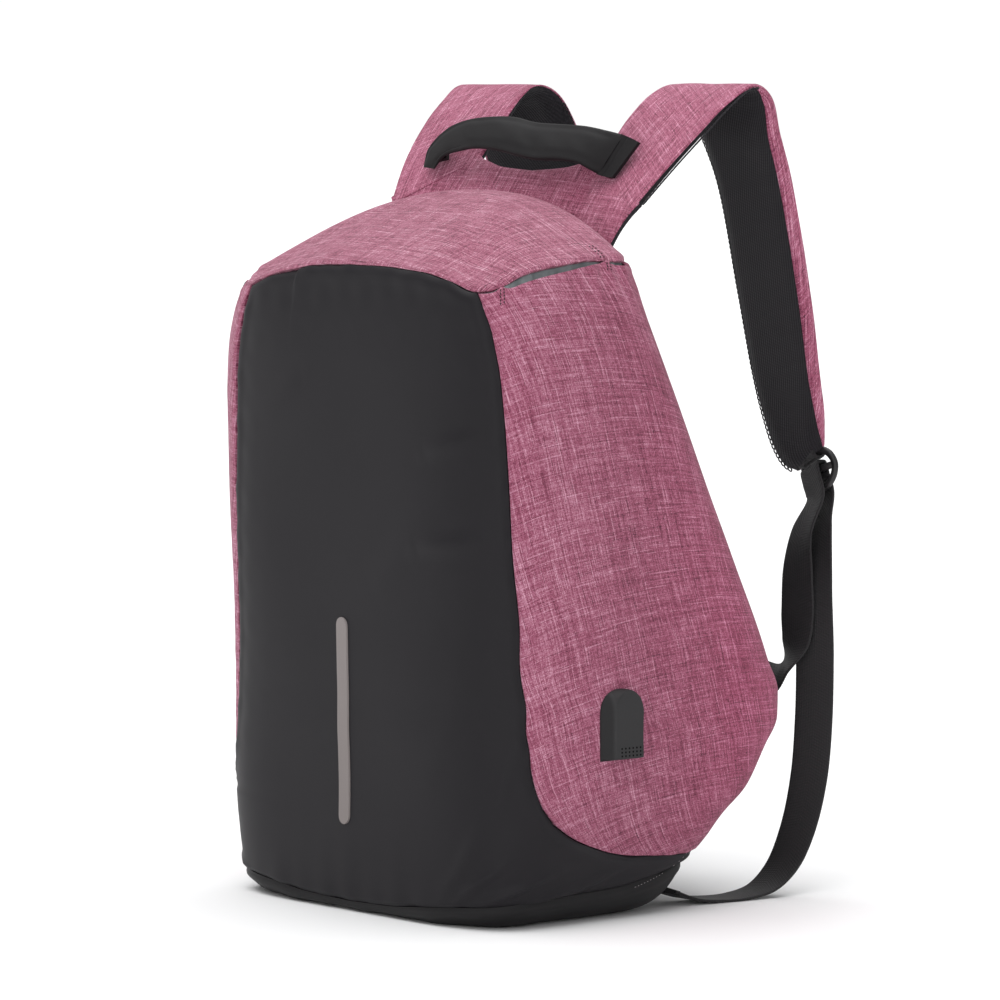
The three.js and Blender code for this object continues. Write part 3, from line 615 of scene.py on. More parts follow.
# Melange yarn: place on the ramp, then its shade out of 255.
YARN_TONES = [
    (0.05, (70, 30, 46)),
    (0.34, (124, 61, 82)),
    (0.5, (150, 84, 106)),
    (0.68, (172, 112, 132)),
    (0.98, (214, 172, 186)),
]
# Painted shade: the colour multiplier for the rear part of a side.
PAINTED_REAR_SHADE = (0.98, 0.58, 0.78)
THREAD = 0.00052


def side_sheet(front_seam):
    """Turn and v over a side, filled in from its four borders."""
    low = aside(boat_line, SEAM_HALF)
    low = np.stack([np.interp(ease(80), ease(40), low[:, k]) for k in (0, 1)], -1)
    left = aside(front_seam, -SEAM_HALF)
    high_turn = mix(math.degrees(front_seam[-1, 0]), nape_turn, ease(80))
    high = np.stack([np.radians(high_turn), 2 - (slit_open(high_turn) / 1000 + SEWN) / WALL_RATE], -1)
    right_z = mix(float(boat_seam_up(heel_turn)), NAPE_UP, ease(90)) * CREST
    right_turn = np.radians(rear_turn(right_z))
    right = np.stack([right_turn - SEWN / TURN_RATE, share(right_turn, right_z)], -1)
    low[0] = left[0] = (left[0, 0], low[0, 1])
    left[-1] = high[0] = (left[-1, 0], high[0, 1])
    right[0] = low[-1] = (right[0, 0], low[-1, 1])
    right[-1] = high[-1] = (right[-1, 0], high[-1, 1])
    s, t = ease(80)[None, :, None], ease(90)[:, None, None]
    ruled = mix(low[None], high[None], t) + mix(left[:, None], right[:, None], s)
    return ruled - mix(mix(low[0], low[-1], s), mix(high[0], high[-1], s), t)


def finer(sheet, times):
    """The same sheet with more points, for creases the coarse one can't hold."""
    rows, count = sheet.shape[:2]
    r = np.linspace(0, rows - 1, (rows - 1) * times + 1)
    c = np.linspace(0, count - 1, (count - 1) * times + 1)
    i, j = np.minimum(r.astype(int), rows - 2), np.minimum(c.astype(int), count - 2)
    a, b = (r - i)[:, None, None], (c - j)[None, :, None]
    below, above = (mix(sheet[k][:, j], sheet[k][:, j + 1], b) for k in (i, i + 1))
    return mix(below, above, a)


def tacked(turn, to_edge, dip, fan, reach, spread):
    """A dip at each bar-tack, with wrinkles fanning from it."""
    total = 0
    for tack in TACKS:
        degrees = turn_degrees(turn) - tack
        away = np.hypot(degrees * 0.0026, to_edge)
        total = total - dip * bell(away / 0.007) + fan * np.exp(-away / reach) * np.cos(degrees * spread)
    return total


def melange(name, lean, seed, painted_light_and_tone, painted_sheen_and_shade=0.0):
    """Plain weave of mixed yarn; lean turns its grain. Its tone scale makes lit and shaded copies of the one
    cloth, as painted light, and a nonzero last argument paints a highlight that pales it towards u = 0 and
    painted shade that deepens it behind.
    """
    g = Graph(name, Roughness=0.8, Specular_IOR_Level=0.3, Sheen_Weight=0.12, Sheen_Roughness=0.5)
    u, w, across, along = g.grain(lean)
    wander = g.noise(g.join(u, w, seed), 14, 1) * 0.0009
    warp, weft = (across + wander) / THREAD, (along + wander) / THREAD
    warp_id, weft_id = warp.floor(), weft.floor()
    over = (warp_id + weft_id) % 2.0

    def streaks(own, run, spread, length, salt):
        return g.noise(g.join(own * spread + salt[0], run * length, salt[1]), 1, 0)

    def tone(own, run, salt):
        long = streaks(own, run, 7.31, 0.012, (salt, salt))
        middle = streaks(own, run, 5.17, 0.045, (salt, salt + 9))
        short = streaks(own, run, 3.7, 0.22, (0.0, salt + 3))
        slub = streaks(own, run, 11.9, 0.02, (-salt, salt + 5))
        thin = streaks(own, run, 9.3, 0.035, (salt, salt + 7))
        body = long * 0.84 + middle * 0.5 + short * 0.46 - 0.4
        return body + slub.lift(0.66, 0.8) * 0.42 - thin.lift(0.66, 0.82) * 0.3

    weave = {"Vector": g.join(warp_id, weft_id)}
    fleck = g.node("ShaderNodeTexWhiteNoise", {"noise_dimensions": "2D"}, weave, "Value")
    warp_tone, weft_tone = tone(warp_id, weft, seed + 1.5), tone(weft_id, warp, seed + 40.5)
    value = warp_tone * (over * 0.44 + 0.34) + weft_tone * (over * -0.44 + 0.66)
    drift = g.noise(g.join(across, along, seed + 2), 11, 2)
    value = value + (fleck - 0.5) * 0.3 + (drift - 0.5) * 0.14
    # Painted highlight: the cloth is paled towards u = 0, its front seam.
    if painted_sheen_and_shade:
        value = value + (u * -9.0 + 1.0).lift(0.0, 1.0) * painted_sheen_and_shade
    # The tone scale also holds painted light: each copy of the cloth is scaled lighter or darker for how it
    # is lit.
    stops = []
    for place, shade in YARN_TONES:
        stops.append((place, tuple(k * (c / 255) ** 2.2 for k, c in zip(painted_light_and_tone, shade))))
    colour = g.ramp(value, stops)
    # Painted shade: from u = 0.08 to 0.24 backwards the colour is multiplied darker.
    if painted_sheen_and_shade:
        deep = g.node("ShaderNodeVectorMath", {"operation": "MULTIPLY"}, {0: colour, 1: PAINTED_REAR_SHADE})
        colour = g.blend(u.lift(0.08, 0.24), colour, deep)
    g.set(Base_Color=colour)
    ridge = (warp * math.pi).sine().fold() * over + (weft * math.pi).sine().fold() * (1 - over)
    g.bump(ridge * 0.7 + value * 0.6, 0.00018, 0.6)
    return g.material


# Painted light and shade: the side's copy of the melange is scaled darker than the top's and the straps',
# and is painted paler towards its front seam and darker behind.
side_cloth = melange("melange_side", 12.5, 2.0, (0.91, 0.78, 0.85), 0.09)
for name, sign, seam_line in (("right", 1, rising_line), ("left", -1, shifted(rising_line))):
    turn, v = np.moveaxis(finer(side_sheet(seam_line), 2), -1, 0)
    turn = turn * sign
    points, out, x, y, z = laid(turn, v)
    across, climb = arc_lengths(points, 1, 0), arc_lengths(points, 0, 0)
    to_back, to_high = across[:, -1:] - across, climb[-1:] - climb
    edge = np.minimum.reduce([across, to_back, climb])
    relief = 0.0011 * ripple(y * 1.1, z * 0.8, 4 + sign, 0.12) * clamp(edge / 0.03)
    rear = np.exp(-to_back / 0.04) * clamp((0.26 - z) / 0.12)
    relief = relief + rear * 0.0026 * ripple(y, z, 9 + sign, 0.055)
    relief = relief + tacked(turn, to_high, 0.0016, 0.0009, 0.016, 1.3)
    pucker = np.exp(-np.minimum(across, climb) / 0.009) * 0.0006 * ripple(y, z, 6, 0.016)
    tuck = -0.0012 * (bell(across / 0.0016) + bell(climb / 0.0016) + bell(to_back / 0.002))
    hem = 0.0005 * bell((to_high - 0.003) / 0.002)
    lay = raised(points, out, relief + pucker + tuck + hem)
    under = raised(points, out, tuck + np.minimum(relief, 0) - SIDE_THICK)
    piece = grid_mesh(f"side_cloth_{name}", lay, under, np.stack([across, climb + z[:1]], -1))
    dress(piece, side_cloth, f"side_panel_{name}")

# Top: the same melange cloth as one domed sheet with its threads running side to side.
# It meets the front in a folded seam and forms the upper lip of each side slit.
TOP_THICK = 0.0026
ring_turns = np.linspace(0, 2 * math.pi, 241)[:-1]
turn, v = np.meshgrid(ring_turns, 2 + mix(SEWN / TOP_RATE, 1, np.linspace(0, 0.985, 64) ** 1.15))
points, out, x, y, z = laid(turn, v)
inward = arc_lengths(points, 0, 0)
relief = 0.0009 * ripple(x, y, 8, 0.09) * clamp(inward / 0.02)
relief = relief + tacked(turn, inward, 0.0022, 0.0012, 0.018, 1.2)
relief = relief - 0.0012 * bell(inward / 0.0018) + 0.0005 * bell((inward - 0.004) / 0.003)
lay, under = raised(points, out, relief), raised(points, out, np.minimum(relief, 0) - TOP_THICK)
poles = [(0, CROWN_Y, CREST + 0.0004), (0, CROWN_Y, CREST - TOP_THICK)]
top = ring_mesh("top_cloth", lay, under, poles, np.stack([y + (CREST - z) * -0.35, x], -1), (CROWN_Y, 0))
# Painted light: the top's copy of the melange is scaled lighter than the side's.
dress(top, melange("melange_top", 4, 12.0, (0.98, 0.95, 0.97)), "top_panel")

# Base: a pan of the same coated cloth, flat underneath, its rim turned up to the lower seam.
# The rim bulges between puckers, as the weight of the filling spreads it.
BASE_THICK = 0.003
turn, v = np.meshgrid(ring_turns, (1 - SEWN / BASE_RATE) * (1 - np.linspace(0, 0.96, 60)))
points, out, x, y, z = laid(turn, v)
inward = arc_lengths(points, 0, 0)
rim = clamp((v - 0.5) / 0.5)
relief = 0.0012 * ripple(x, y, 5, 0.05) * rim * (1 - rim) * 4
relief = relief - 0.0013 * bell(inward / 0.002) + 0.0008 * bell((inward - 0.005) / 0.003)
lay, under = raised(points, out, relief), raised(points, out, np.minimum(relief, 0) - BASE_THICK)
lay[..., 2] = np.maximum(lay[..., 2], 0)
base = ring_mesh("base_cloth", lay, under, [(0, 0, 0), (0, 0, BASE_THICK)], np.stack([x, y], -1), (0, 0))
base_cloth = coated_cloth("base_coated_cloth", (0.0105, 0.0098, 0.0108))
dress(base, base_cloth, "base_panel")

# Back: a foam panel faced with black spacer mesh, against the wearer.
# Its sides follow the rear corners, and its face crowns a little inside the seams.
BACK_PAD = 0.008


def spacer_mesh(name, lean, colour=(0.0165, 0.0150, 0.0180)):
    g = Graph(name, Specular_IOR_Level=0.22, Sheen_Weight=0.05)
    u, w, across, along = g.grain(lean)
    knit = (across.wave(0.0026) + along.wave(0.0017) * 0.5) * 0.4 + 0.5
    wear = g.noise(g.join(across, along), 260, 2)
    light = (knit * 0.7 + wear * 0.5).lift(0.35, 1.0)
    g.set(Base_Color=g.blend(light, colour, tuple(k * 1.5 for k in colour)), Roughness=0.78 + wear * 0.12)
    g.bump(knit, 0.0005, 0.6)
    return g.material


mesh_cloth = spacer_mesh("black_spacer_mesh", 33)
v_rows = np.linspace(1 + SEWN / WALL_RATE, 2 - SEWN / WALL_RATE, 81)
turn_rows = []
for v_row in v_rows:
    degrees = 120.0
    for _ in range(4):
        at = np.radians(degrees)
        degrees = float(rear_turn(mix(low_edge(at), high_edge(at), v_row - 1)))
    start = math.radians(degrees) + SEWN / TURN_RATE
    turn_rows.append(np.linspace(start, 2 * math.pi - start, 91))
points, out, x, y, z = laid(np.array(turn_rows), v_rows[:, None])
across, climb = arc_lengths(points, 1, 45), arc_lengths(points, 0, 0)
edge = np.minimum.reduce([across - across[:, :1], across[:, -1:] - across, climb, climb[-1:] - climb])
relief = 0.0008 * ripple(x, z, 2, 0.13) * clamp(edge / 0.02)
relief = relief - 0.0016 * bell(edge / 0.003) + 0.0012 * (1 - np.exp(-edge / 0.02))
lay, under = raised(points, out, relief), raised(points, out, -BACK_PAD)
back = grid_mesh("back_pad", lay, under, np.stack([across, climb], -1))
dress(back, mesh_cloth, "back_panel")

# Slit linings: thin plain grey cloth hanging just behind each side slit.
# They sag a little, and show only where the slit stands open.
lining = Graph("grey_lining_cloth", Specular_IOR_Level=0.25)
u, w = lining.grain()[:2]
weave = u.wave(0.0009) * w.wave(0.0009)
tone = weave * 0.15 + lining.noise(lining.place(), 120, 2) * 0.7 + 0.15
grey = lining.blend(tone, (0.15, 0.18, 0.185), (0.29, 0.335, 0.34))
lining.set(Base_Color=grey, Roughness=0.72 + weave * 0.08)
lining.bump(weave, 0.0002, 0.4)
for name, sign in SIDES:
    degrees = np.linspace(64.3, 117, 131)
    turn, v = np.meshgrid(np.radians(degrees) * sign, np.linspace(1.966, 2.075, 21))
    sag = 0.0004 * np.sin(degrees * 0.9) + 0.00025 * np.sin(degrees * 2.3 + v * 60)
    out = outward(turn, v)
    lay = raised(skin(turn, v), out, sag - 0.0042)
    piece = grid_mesh(f"slit_lining_{name}", lay, lay - out * 0.0008, flat_uv(lay))
    dress(piece, lining.material, f"pocket_lining_{name}")

# Shoulder straps: foam bound in melange cloth, faced with spacer mesh on the wearer's side.
# They rise from the yoke, are creased sharply where they fold over, and hang to the sliders.
PAD_NARROW = 0.0012
STRAP_ROUND = 0.0022
STRAP_THINNEST = 0.0004
COVER_IN = 0.3
# Places in mm from the yoke to the slider: outer edge, then inner edge.
STRAP_ROWS = [
    (119, 52.6, 434.6, 62.6, 78.9, 464),
    (122, 57, 441, 62, 82, 468),
    (131.5, 75, 464, 60, 92, 482),
    (138, 95, 485, 60, 102, 493),
    (141, 113, 501, 62, 116, 505),
    (144, 130, 511, 65, 131, 511),
    (145, 139, 506, 64, 145, 506),
    (144, 147, 484, 62, 160, 484),
    (143, 158, 454, 61, 176, 453),
    (143, 175, 381, 62.5, 193, 382),
    (140, 187, 329, 68.6, 201, 328),
    (138, 193, 311, 75, 204, 302),
    (136.3, 196.5, 300, 83, 206, 282),
    (135, 198.5, 293, 91, 207.5, 272),
    (133.5, 200, 287, 100, 209, 268.5),
]
# Share of the strap's length, then its cloth face and mesh face in mm off the middle line:
# at the outer edge, in the middle and at the inner edge.
STRAP_DEPTHS = [
    (0.00, 5.2, 0.6, 5.5, -5.2, 5.0, -1.0),
    (0.20, 5.2, 0.9, 5.5, -4.6, 5.0, -0.5),
    (0.29, 5.3, 1.6, 5.5, -2.0, 5.2, 1.6),
    (0.33, 5.4, 2.4, 5.5, 1.2, 5.3, 3.0),
    (0.37, 5.3, 1.2, 5.5, 0.2, 5.2, 2.4),
    (0.42, 5.2, -2.0, 5.5, -3.2, 5.0, 0.6),
    (0.52, 5.0, -4.8, 5.5, -5.5, 4.6, -3.2),
    (0.66, 4.6, -5.0, 5.5, -5.5, 4.6, -3.8),
    (0.78, 3.4, -4.4, 5.2, -5.5, 4.0, -3.8),
    (0.90, 1.4, -2.8, 4.2, -5.0, 2.6, -3.2),
    (1.00, 0.3, -1.3, 2.6, -3.2, 1.4, -2.4),
]


def flowing(rows, scale=0.001):
    """A smooth path through rows of millimetre places; the share of it runs 0 to 1 row by row."""
    points = np.array(rows, float) * scale
    points = np.concatenate([2 * points[:1] - points[1:2], points, 2 * points[-1:] - points[-2:-1]])
    knots = np.concatenate([[0], np.cumsum(np.linalg.norm(np.diff(points, axis=0), axis=1) ** 0.5 + 1e-4)])

    def at(t):
        t = clamp(np.asarray(t, float)) * (len(rows) - 1)
        i = np.minimum(t.astype(int), len(rows) - 2)
        p, k = [points[i + n] for n in range(4)], [knots[i + n][..., None] for n in range(4)]
        s = mix(k[1], k[2], (t - i)[..., None])

        def between(a, b, first, last):
            return ((k[last] - s) * a + (s - k[first]) * b) / (k[last] - k[first])

        a, b, c = (between(p[n], p[n + 1], n, n + 1) for n in range(3))
        return between(between(a, b, 0, 2), between(b, c, 1, 3), 1, 2)

    return at


def two_paths(rows):
    """Smooth paths through the first three and the last three columns of a table."""
    return flowing([row[:3] for row in rows]), flowing([row[3:] for row in rows])


strap_out, strap_in = two_paths(STRAP_ROWS)
depth_lines = columns(STRAP_DEPTHS)


def strap_grid(t, outline, inset, narrow=0.0):
    """Strap points, and the direction off its cloth face, for an outline of (side -1 to 1, height 0 to 1).

    They are drawn in by an inset in metres. A height may change along t, so a sheet's edge can wander.
    """
    a, b = strap_in(t), strap_out(t)
    ahead = strap_in(t + 0.012) + strap_out(t + 0.012) - strap_in(t - 0.012) - strap_out(t - 0.012)
    across = unit(b - a)
    normal = unit(np.cross(across, ahead))
    half = np.linalg.norm(b - a, axis=-1) / 2 - inset - narrow
    tops = [line(t) * 0.001 - inset for line in depth_lines[0::2]]
    lows = [line(t) * 0.001 + inset for line in depth_lines[1::2]]
    made = []
    for side, height in outline:
        reach = side * half
        from_edge = half - np.abs(reach)
        inner = 0 if side > 0 else 2
        top, low = (mix(levels[inner], levels[1], smooth(from_edge / 0.012)) for levels in (tops, lows))
        tall = np.maximum(top - low, STRAP_THINNEST)
        round_by = np.minimum(STRAP_ROUND, tall * 0.45)
        near = np.minimum(height, 1 - height) * tall
        pull_in = round_by * (1 - np.sqrt(clamp(1 - (1 - clamp(near / round_by)) ** 2)))
        shift = np.where(from_edge < round_by, np.maximum(pull_in - from_edge, 0), 0) * np.sign(side)
        level = low + height * tall
        made.append((a + b) / 2 + across * (reach - shift)[:, None] + normal * level[:, None])
    return np.stack(made, 1), normal


side_runs = (-1, -0.9, 7), (-0.88, 0.88, 21), (0.9, 1, 7)
faces_across = np.concatenate([np.linspace(*run) for run in side_runs])
wall_steps = [0.0, 0.06, 0.16, 0.3, 0.48, 0.68, 0.86]
cover_out = smooth_line([(0, 0.12), (0.24, 0.16), (0.3, 0.35), (0.36, 0.95), (0.42, 1.0), (1, 1.0)])


def cloth_outline(t):
    """Over the face of the strap, and down each wall as far as the cover goes."""
    rows = [(-1, 1 - COVER_IN * (1 - step)) for step in wall_steps]
    rows += [(side, 1.0) for side in faces_across]
    return rows + [(1, 1 - cover_out(t) * (1 - step)) for step in wall_steps[::-1]]


def pad_outline(top):
    """Half of the closed mesh pad: its upper or lower skin, with half of each wall."""
    wall_rows = [(-1, height if top else 1 - height) for height in (0.5, 0.65, 0.8, 0.92)]
    face = [(side, 1.0 if top else 0.0) for side in faces_across]
    return wall_rows + face + [(1, height) for side, height in wall_rows[::-1]]


long_runs = (0, 0.26, 50), (0.262, 0.44, 70), (0.443, 1, 110)
stations = np.concatenate([np.linspace(*run) for run in long_runs])
# Painted light: the straps' copy of the melange is scaled lighter than the side's.
strap_cloth = melange("melange_strap", -3, 25.0, (1.06, 0.91, 1.0))
for name, sign in SIDES:
    mirror = np.array([sign, 1, 1])
    lay, normal = strap_grid(stations, cloth_outline(stations), 0.0)
    under, _ = strap_grid(stations, cloth_outline(stations), 0.0009)
    wide, run = np.moveaxis(flat_uv(lay, lay.shape[1] // 2), -1, 0)
    relief = 0.0005 * ripple(wide, run, 5 + sign, 0.05) * clamp(run / 0.02)
    relief[:, : len(wall_steps)] = relief[:, -len(wall_steps) :] = 0
    lay, under = (raised(points, normal[:, None], relief) * mirror for points in (lay, under))
    uv = np.stack([sign * (wide + 0.0918), run + 0.058], -1)
    piece = grid_mesh(f"strap_cloth_{name}", lay, under, uv)
    dress(piece, strap_cloth, f"strap_outer_{name}")
    lay, _ = strap_grid(stations, pad_outline(False), 0.0, PAD_NARROW)
    under, _ = strap_grid(stations, pad_outline(True), 0.0010, PAD_NARROW - 0.001)
    uv = flat_uv(lay, len(faces_across) // 2)
    piece = grid_mesh(f"strap_pad_{name}", lay * mirror, under * mirror, uv)
    dress(piece, mesh_cloth, f"strap_mesh_{name}")


# Mesh edges: the spacer mesh's open selvedge shows as a row of small loops along each strap,
# outside the cloth on the way up and outside the pad on the way down.
def repeats(name, places, ahead, up, material, shape, **sizes):
    """Sets one small shape on each place with Geometry Nodes, its X along ahead and its Z along up."""
    mesh = bpy.data.meshes.new(name)
    mesh.from_pydata([tuple(p) for p in places], [], [])
    for label, vectors in (("ahead", ahead), ("up", up)):
        attribute = mesh.attributes.new(label, "FLOAT_VECTOR", "POINT")
        attribute.data.foreach_set("vector", np.asarray(vectors, np.float32).ravel())
    seeds = linked(f"{name}_places", mesh)
    tree = bpy.data.node_groups.new(name, "GeometryNodeTree")
    for way in ("INPUT", "OUTPUT"):
        tree.interface.new_socket("Geometry", in_out=way, socket_type="NodeSocketGeometry")
    given, made = tree.nodes.new("NodeGroupInput"), tree.nodes.new("NodeGroupOutput")
    modifier = seeds.modifiers.new(name, "NODES")
    for label, size in sizes.items():
        socket = tree.interface.new_socket(label, in_out="INPUT", socket_type="NodeSocketFloat")
        socket.default_value = size

    def node(kind, settings=None, **links):
        new = tree.nodes.new(kind)
        for key, value in (settings or {}).items():
            setattr(new, key, value)
        for key, value in links.items():
            socket = new.inputs[key.replace("__", " ")]
            if isinstance(value, bpy.types.NodeSocket):
                tree.links.new(value, socket)
            else:
                socket.default_value = value
        return new.outputs[0]

    ahead, up = (
        node("GeometryNodeInputNamedAttribute", {"data_type": "FLOAT_VECTOR"}, Name=label)
        for label in ("ahead", "up")
    )
    axes = {"primary_axis": "Z", "secondary_axis": "X"}
    turned = node("FunctionNodeAxesToRotation", axes, Primary__Axis=up, Secondary__Axis=ahead)
    seats, one = given.outputs["Geometry"], shape(node, given.outputs)
    spread = node("GeometryNodeInstanceOnPoints", Points=seats, Instance=one, Rotation=turned)
    real = node("GeometryNodeRealizeInstances", Geometry=spread)
    coated = node("GeometryNodeSetMaterial", Geometry=real, Material=material)
    tree.links.new(coated, made.inputs[0])
    modifier.node_group = tree
    mesh = bpy.data.meshes.new_from_object(seeds.evaluated_get(bpy.context.evaluated_depsgraph_get()))
    seeds.modifiers.clear()
    bpy.data.objects.remove(seeds)
    return linked(name, mesh)


def loop_shape(node, size):
    """A flattened ring of thin cord, Long by Wide."""
    ring = node("GeometryNodeCurvePrimitiveCircle", {"mode": "RADIUS"}, Resolution=10, Radius=1.0)
    scale = node("ShaderNodeCombineXYZ", X=size["Long"], Y=size["Wide"], Z=size["Wide"])
    flat = node("GeometryNodeTransform", Geometry=ring, Scale=scale)
    cord = node("GeometryNodeCurvePrimitiveCircle", {"mode": "RADIUS"}, Resolution=5, Radius=size["Cord"])
    return node("GeometryNodeCurveToMesh", Curve=flat, Profile__Curve=cord)


def bead_shape(node, size):
    """A stitch: a small rounded bar, Long by Wide by Tall."""
    ball = node("GeometryNodeMeshUVSphere", Segments=8, Rings=5, Radius=0.5)
    scale = node("ShaderNodeCombineXYZ", X=size["Long"], Y=size["Wide"], Z=size["Tall"])
    return node("GeometryNodeTransform", Geometry=ball, Scale=scale)


def spaced(points, gap):
    """Evenly spaced places along a fine polyline, with their directions and their index in it."""
    steps = np.linalg.norm(np.diff(points, axis=0), axis=1)
    total = np.concatenate([[0], np.cumsum(steps)])
    at = np.arange(gap / 2, total[-1], gap)
    places = np.stack([np.interp(at, total, points[:, k]) for k in range(3)], -1)
    index = np.clip(np.searchsorted(total, at) - 1, 0, len(steps) - 1)
    ahead = unit(points[index + 1] - points[index])
    return places, ahead, np.interp(at, total, np.arange(len(points))).astype(int)


# Edge of the strap, start and end along it, height on its wall, and reach beyond it in metres.
SELVEDGES = [(1, 0.07, 0.36, 0.1, 0.0009), (-1, 0.44, 0.96, 0.3, 0.0010)]
LOOP_GAP = 0.0033
for name, sign in SIDES:
    found = []
    for edge, low, high, height, beyond in SELVEDGES:
        t = np.linspace(0, 1, 900)
        t = t[(t > low) & (t < high)]
        lines, normal = strap_grid(t, [(edge, height), (0, height)], 0.0)
        side = unit(lines[:, 0] - lines[:, 1])
        places, ahead, index = spaced(lines[:, 0] + side * beyond, LOOP_GAP)
        found.append((places, ahead, unit(normal[index] - side[index] * (0.5 if edge > 0 else 0))))
    places, ahead, up = (np.concatenate(rows) * [sign, 1, 1] for rows in zip(*found))
    sizes = {"Long": 0.0017, "Wide": 0.0014, "Cord": 0.0005}
    piece = repeats(f"mesh_edge_{name}", places, ahead, up, mesh_cloth, loop_shape, **sizes)
    dress(piece, None)

# Yoke: a padded cloth panel behind the crest, from which both straps grow.
# It is one sheet of cloth over a mesh pad, and it runs on a little under the straps.
YOKE_FOOT, YOKE_TOP = 102, 121.8
NECK_ROWS = [(0, 72, 459), (30, 73, 461), (50, 76.5, 465), (61.8, 81.1, 466.8), (121.8, 56.1, 439.8)]
neck_curve = columns(NECK_ROWS[:4])


def neck(x, k):
    """Depth (k = 1) or height (k = 2) of the yoke's upper edge in mm."""
    inner, outer = NECK_ROWS[3], NECK_ROWS[4]
    straight = mix(inner[k], outer[k], (x - inner[0]) / (outer[0] - inner[0]))
    return np.where(x <= inner[0], neck_curve[k - 1](x), straight)


def yoke_sheet(levels, over=0.0, narrow=0.0):
    """The yoke's middle surface lifted by levels in mm: at its outer ends, then over its middle."""
    t, s = np.meshgrid(ease(60), np.linspace(-1, 1, 161), indexing="ij")
    x = s * (mix(YOKE_FOOT, YOKE_TOP, t) - narrow)
    reach = np.abs(x)
    foot = np.stack([x, 47 - 1.6 * (x / YOKE_FOOT) ** 2, 408 + 0 * x], -1)
    crown = np.stack([x, neck(reach, 1), neck(reach, 2)], -1)
    joined = clamp((reach - 60) / 4) * clamp((121 - reach) / 6)
    crown = crown + np.array([0, 0.62, 0.78]) * (over * joined)[..., None]
    point = mix(foot, crown, t[..., None])
    point[..., 1] -= 3.2 * np.sin(math.pi * t)
    tilt = mix(np.array([0, -0.95, 0.3]), np.array([0, -0.79, 0.61]), t[..., None])
    free = np.where(reach < 62, clamp((1 - t) / 0.08), 1)
    level = mix(levels[0], levels[1], smooth((1 - np.abs(s)) * 10))
    level = level - np.sign(level) * 1.6 * (1 - np.sqrt(free * (2 - free)))
    level = level - 0.2 * joined * clamp((t - 0.93) / 0.07)
    return raised(point, tilt, level) / 1000


lay, under = yoke_sheet((5.2, 5.4), 2.5), yoke_sheet((4.2, 4.4), 2.5)
relief = 0.0005 * ripple(lay[..., 0], lay[..., 2], 4, 0.05) * clamp((1 - ease(60)) / 0.2)[:, None]
relief = relief[..., None] * np.array([0, -0.9, 0.3])
uv = np.stack([lay[..., 0], arc_lengths(lay, 0, 0)], -1)
dress(grid_mesh("yoke_cloth", lay + relief, under + relief, uv), strap_cloth, "yoke")
lay, under = yoke_sheet((4.1, 4.3), 0.0, 0.8), yoke_sheet((0.8, -5.2), 0.0, 0.8)
uv = np.stack([lay[..., 0], arc_lengths(lay, 0, 0)], -1)
dress(grid_mesh("yoke_pad", lay + relief, under, uv), mesh_cloth)

# Carry handle: a padded band of coated cloth with a flat tab sewn down at each end.
# Rows are the upper and the lower edge of the band in mm, left to right.
HANDLE_ROWS = [
    (-101.5, 63, 462.5, -88.5, 61, 461.5),
    (-99.0, 65, 474.0, -76.5, 59, 469.5),
    (-82.8, 67, 486.7, -53.5, 56, 474.0),
    (-61.4, 67, 492.8, -38.0, 54, 475.4),
    (-30.3, 67, 495.2, -16.0, 53, 474.3),
    (-13.1, 68, 494.6, 2.2, 53, 471.3),
    (5.1, 68, 491.7, 21.8, 53, 468.7),
    (36.5, 67, 490.4, 46.1, 53, 468.4),
    (56.8, 67, 489.4, 62.2, 54, 466.4),
    (74.5, 69, 486.8, 70.3, 57, 462.4),
    (87.0, 71, 484.3, 74.9, 61, 459.4),
]
# The band runs on past its fold as a flat tab: on the right it shows, on the left the band covers it.
HANDLE_ENDS = {
    "right": [
        (85.5, 70.6, 484.6, 73.4, 60.4, 459.6),
        (93.5, 71.5, 482.2, 79.8, 62, 458.1),
        (100.8, 71.5, 479.7, 86.9, 62, 457.6),
    ],
    "left": [(-97, 71, 477, -88, 64, 466), (-92, 71, 478.5, -83, 63.5, 467), (-86, 71, 480, -77, 63, 468)],
}
handle_up, handle_low = two_paths(HANDLE_ROWS)
# Share of the band's length, then half its thickness in mm.
HANDLE_HALVES = [(0, 1.2), (0.1, 2.2), (0.25, 3.6), (0.5, 4.3), (0.75, 3.8), (0.93, 3.0), (1, 2.3)]
handle_half = smooth_line(HANDLE_HALVES)
corner = [0.0, 0.012, 0.035, 0.07, 0.12, 0.2, 0.32, 0.5]
across_rows = np.array(corner + [1 - k for k in corner[-2::-1]])


def between_edges(low, up, shares):
    """A grid from one line of points to another."""
    return mix(low[:, None], up[:, None], shares[None, :, None])


t = ease(180)
up, low = handle_up(t), handle_low(t)
ahead = handle_up(t + 0.01) + handle_low(t + 0.01) - handle_up(t - 0.01) - handle_low(t - 0.01)
normal = unit(np.cross(unit(ahead), unit(up - low)))[:, None]
body = between_edges(low, up, across_rows)
crown = np.sin(np.arccos(np.clip(1 - 2 * across_rows, -1, 1))) ** 0.75
groove = 0.0007 * (bell((across_rows - 0.12) / 0.02) + bell((across_rows - 0.88) / 0.02))
puff = handle_half(t)[:, None] * 0.001 * crown - groove * clamp(np.sin(math.pi * t) * 4)[:, None]
lay, under = raised(body, normal, puff), raised(body, normal, -puff)
uv = flat_uv(lay, len(across_rows) // 2)
wide, run = np.moveaxis(uv, -1, 0)
wrinkle = 0.0009 * ripple(run, wide, 6, 0.03)
wrinkle = wrinkle + 0.0005 * np.sin(run * 420 + wide * 260) * np.exp(-run / 0.03)
lay = raised(lay, normal, wrinkle * np.sin(math.pi * across_rows))
handle_cloth = coated_cloth("handle_cloth", (0.0115, 0.0108, 0.0118), 0.62)
dress(grid_mesh("carry_handle_pad", lay, under, uv), handle_cloth, "carry_handle")

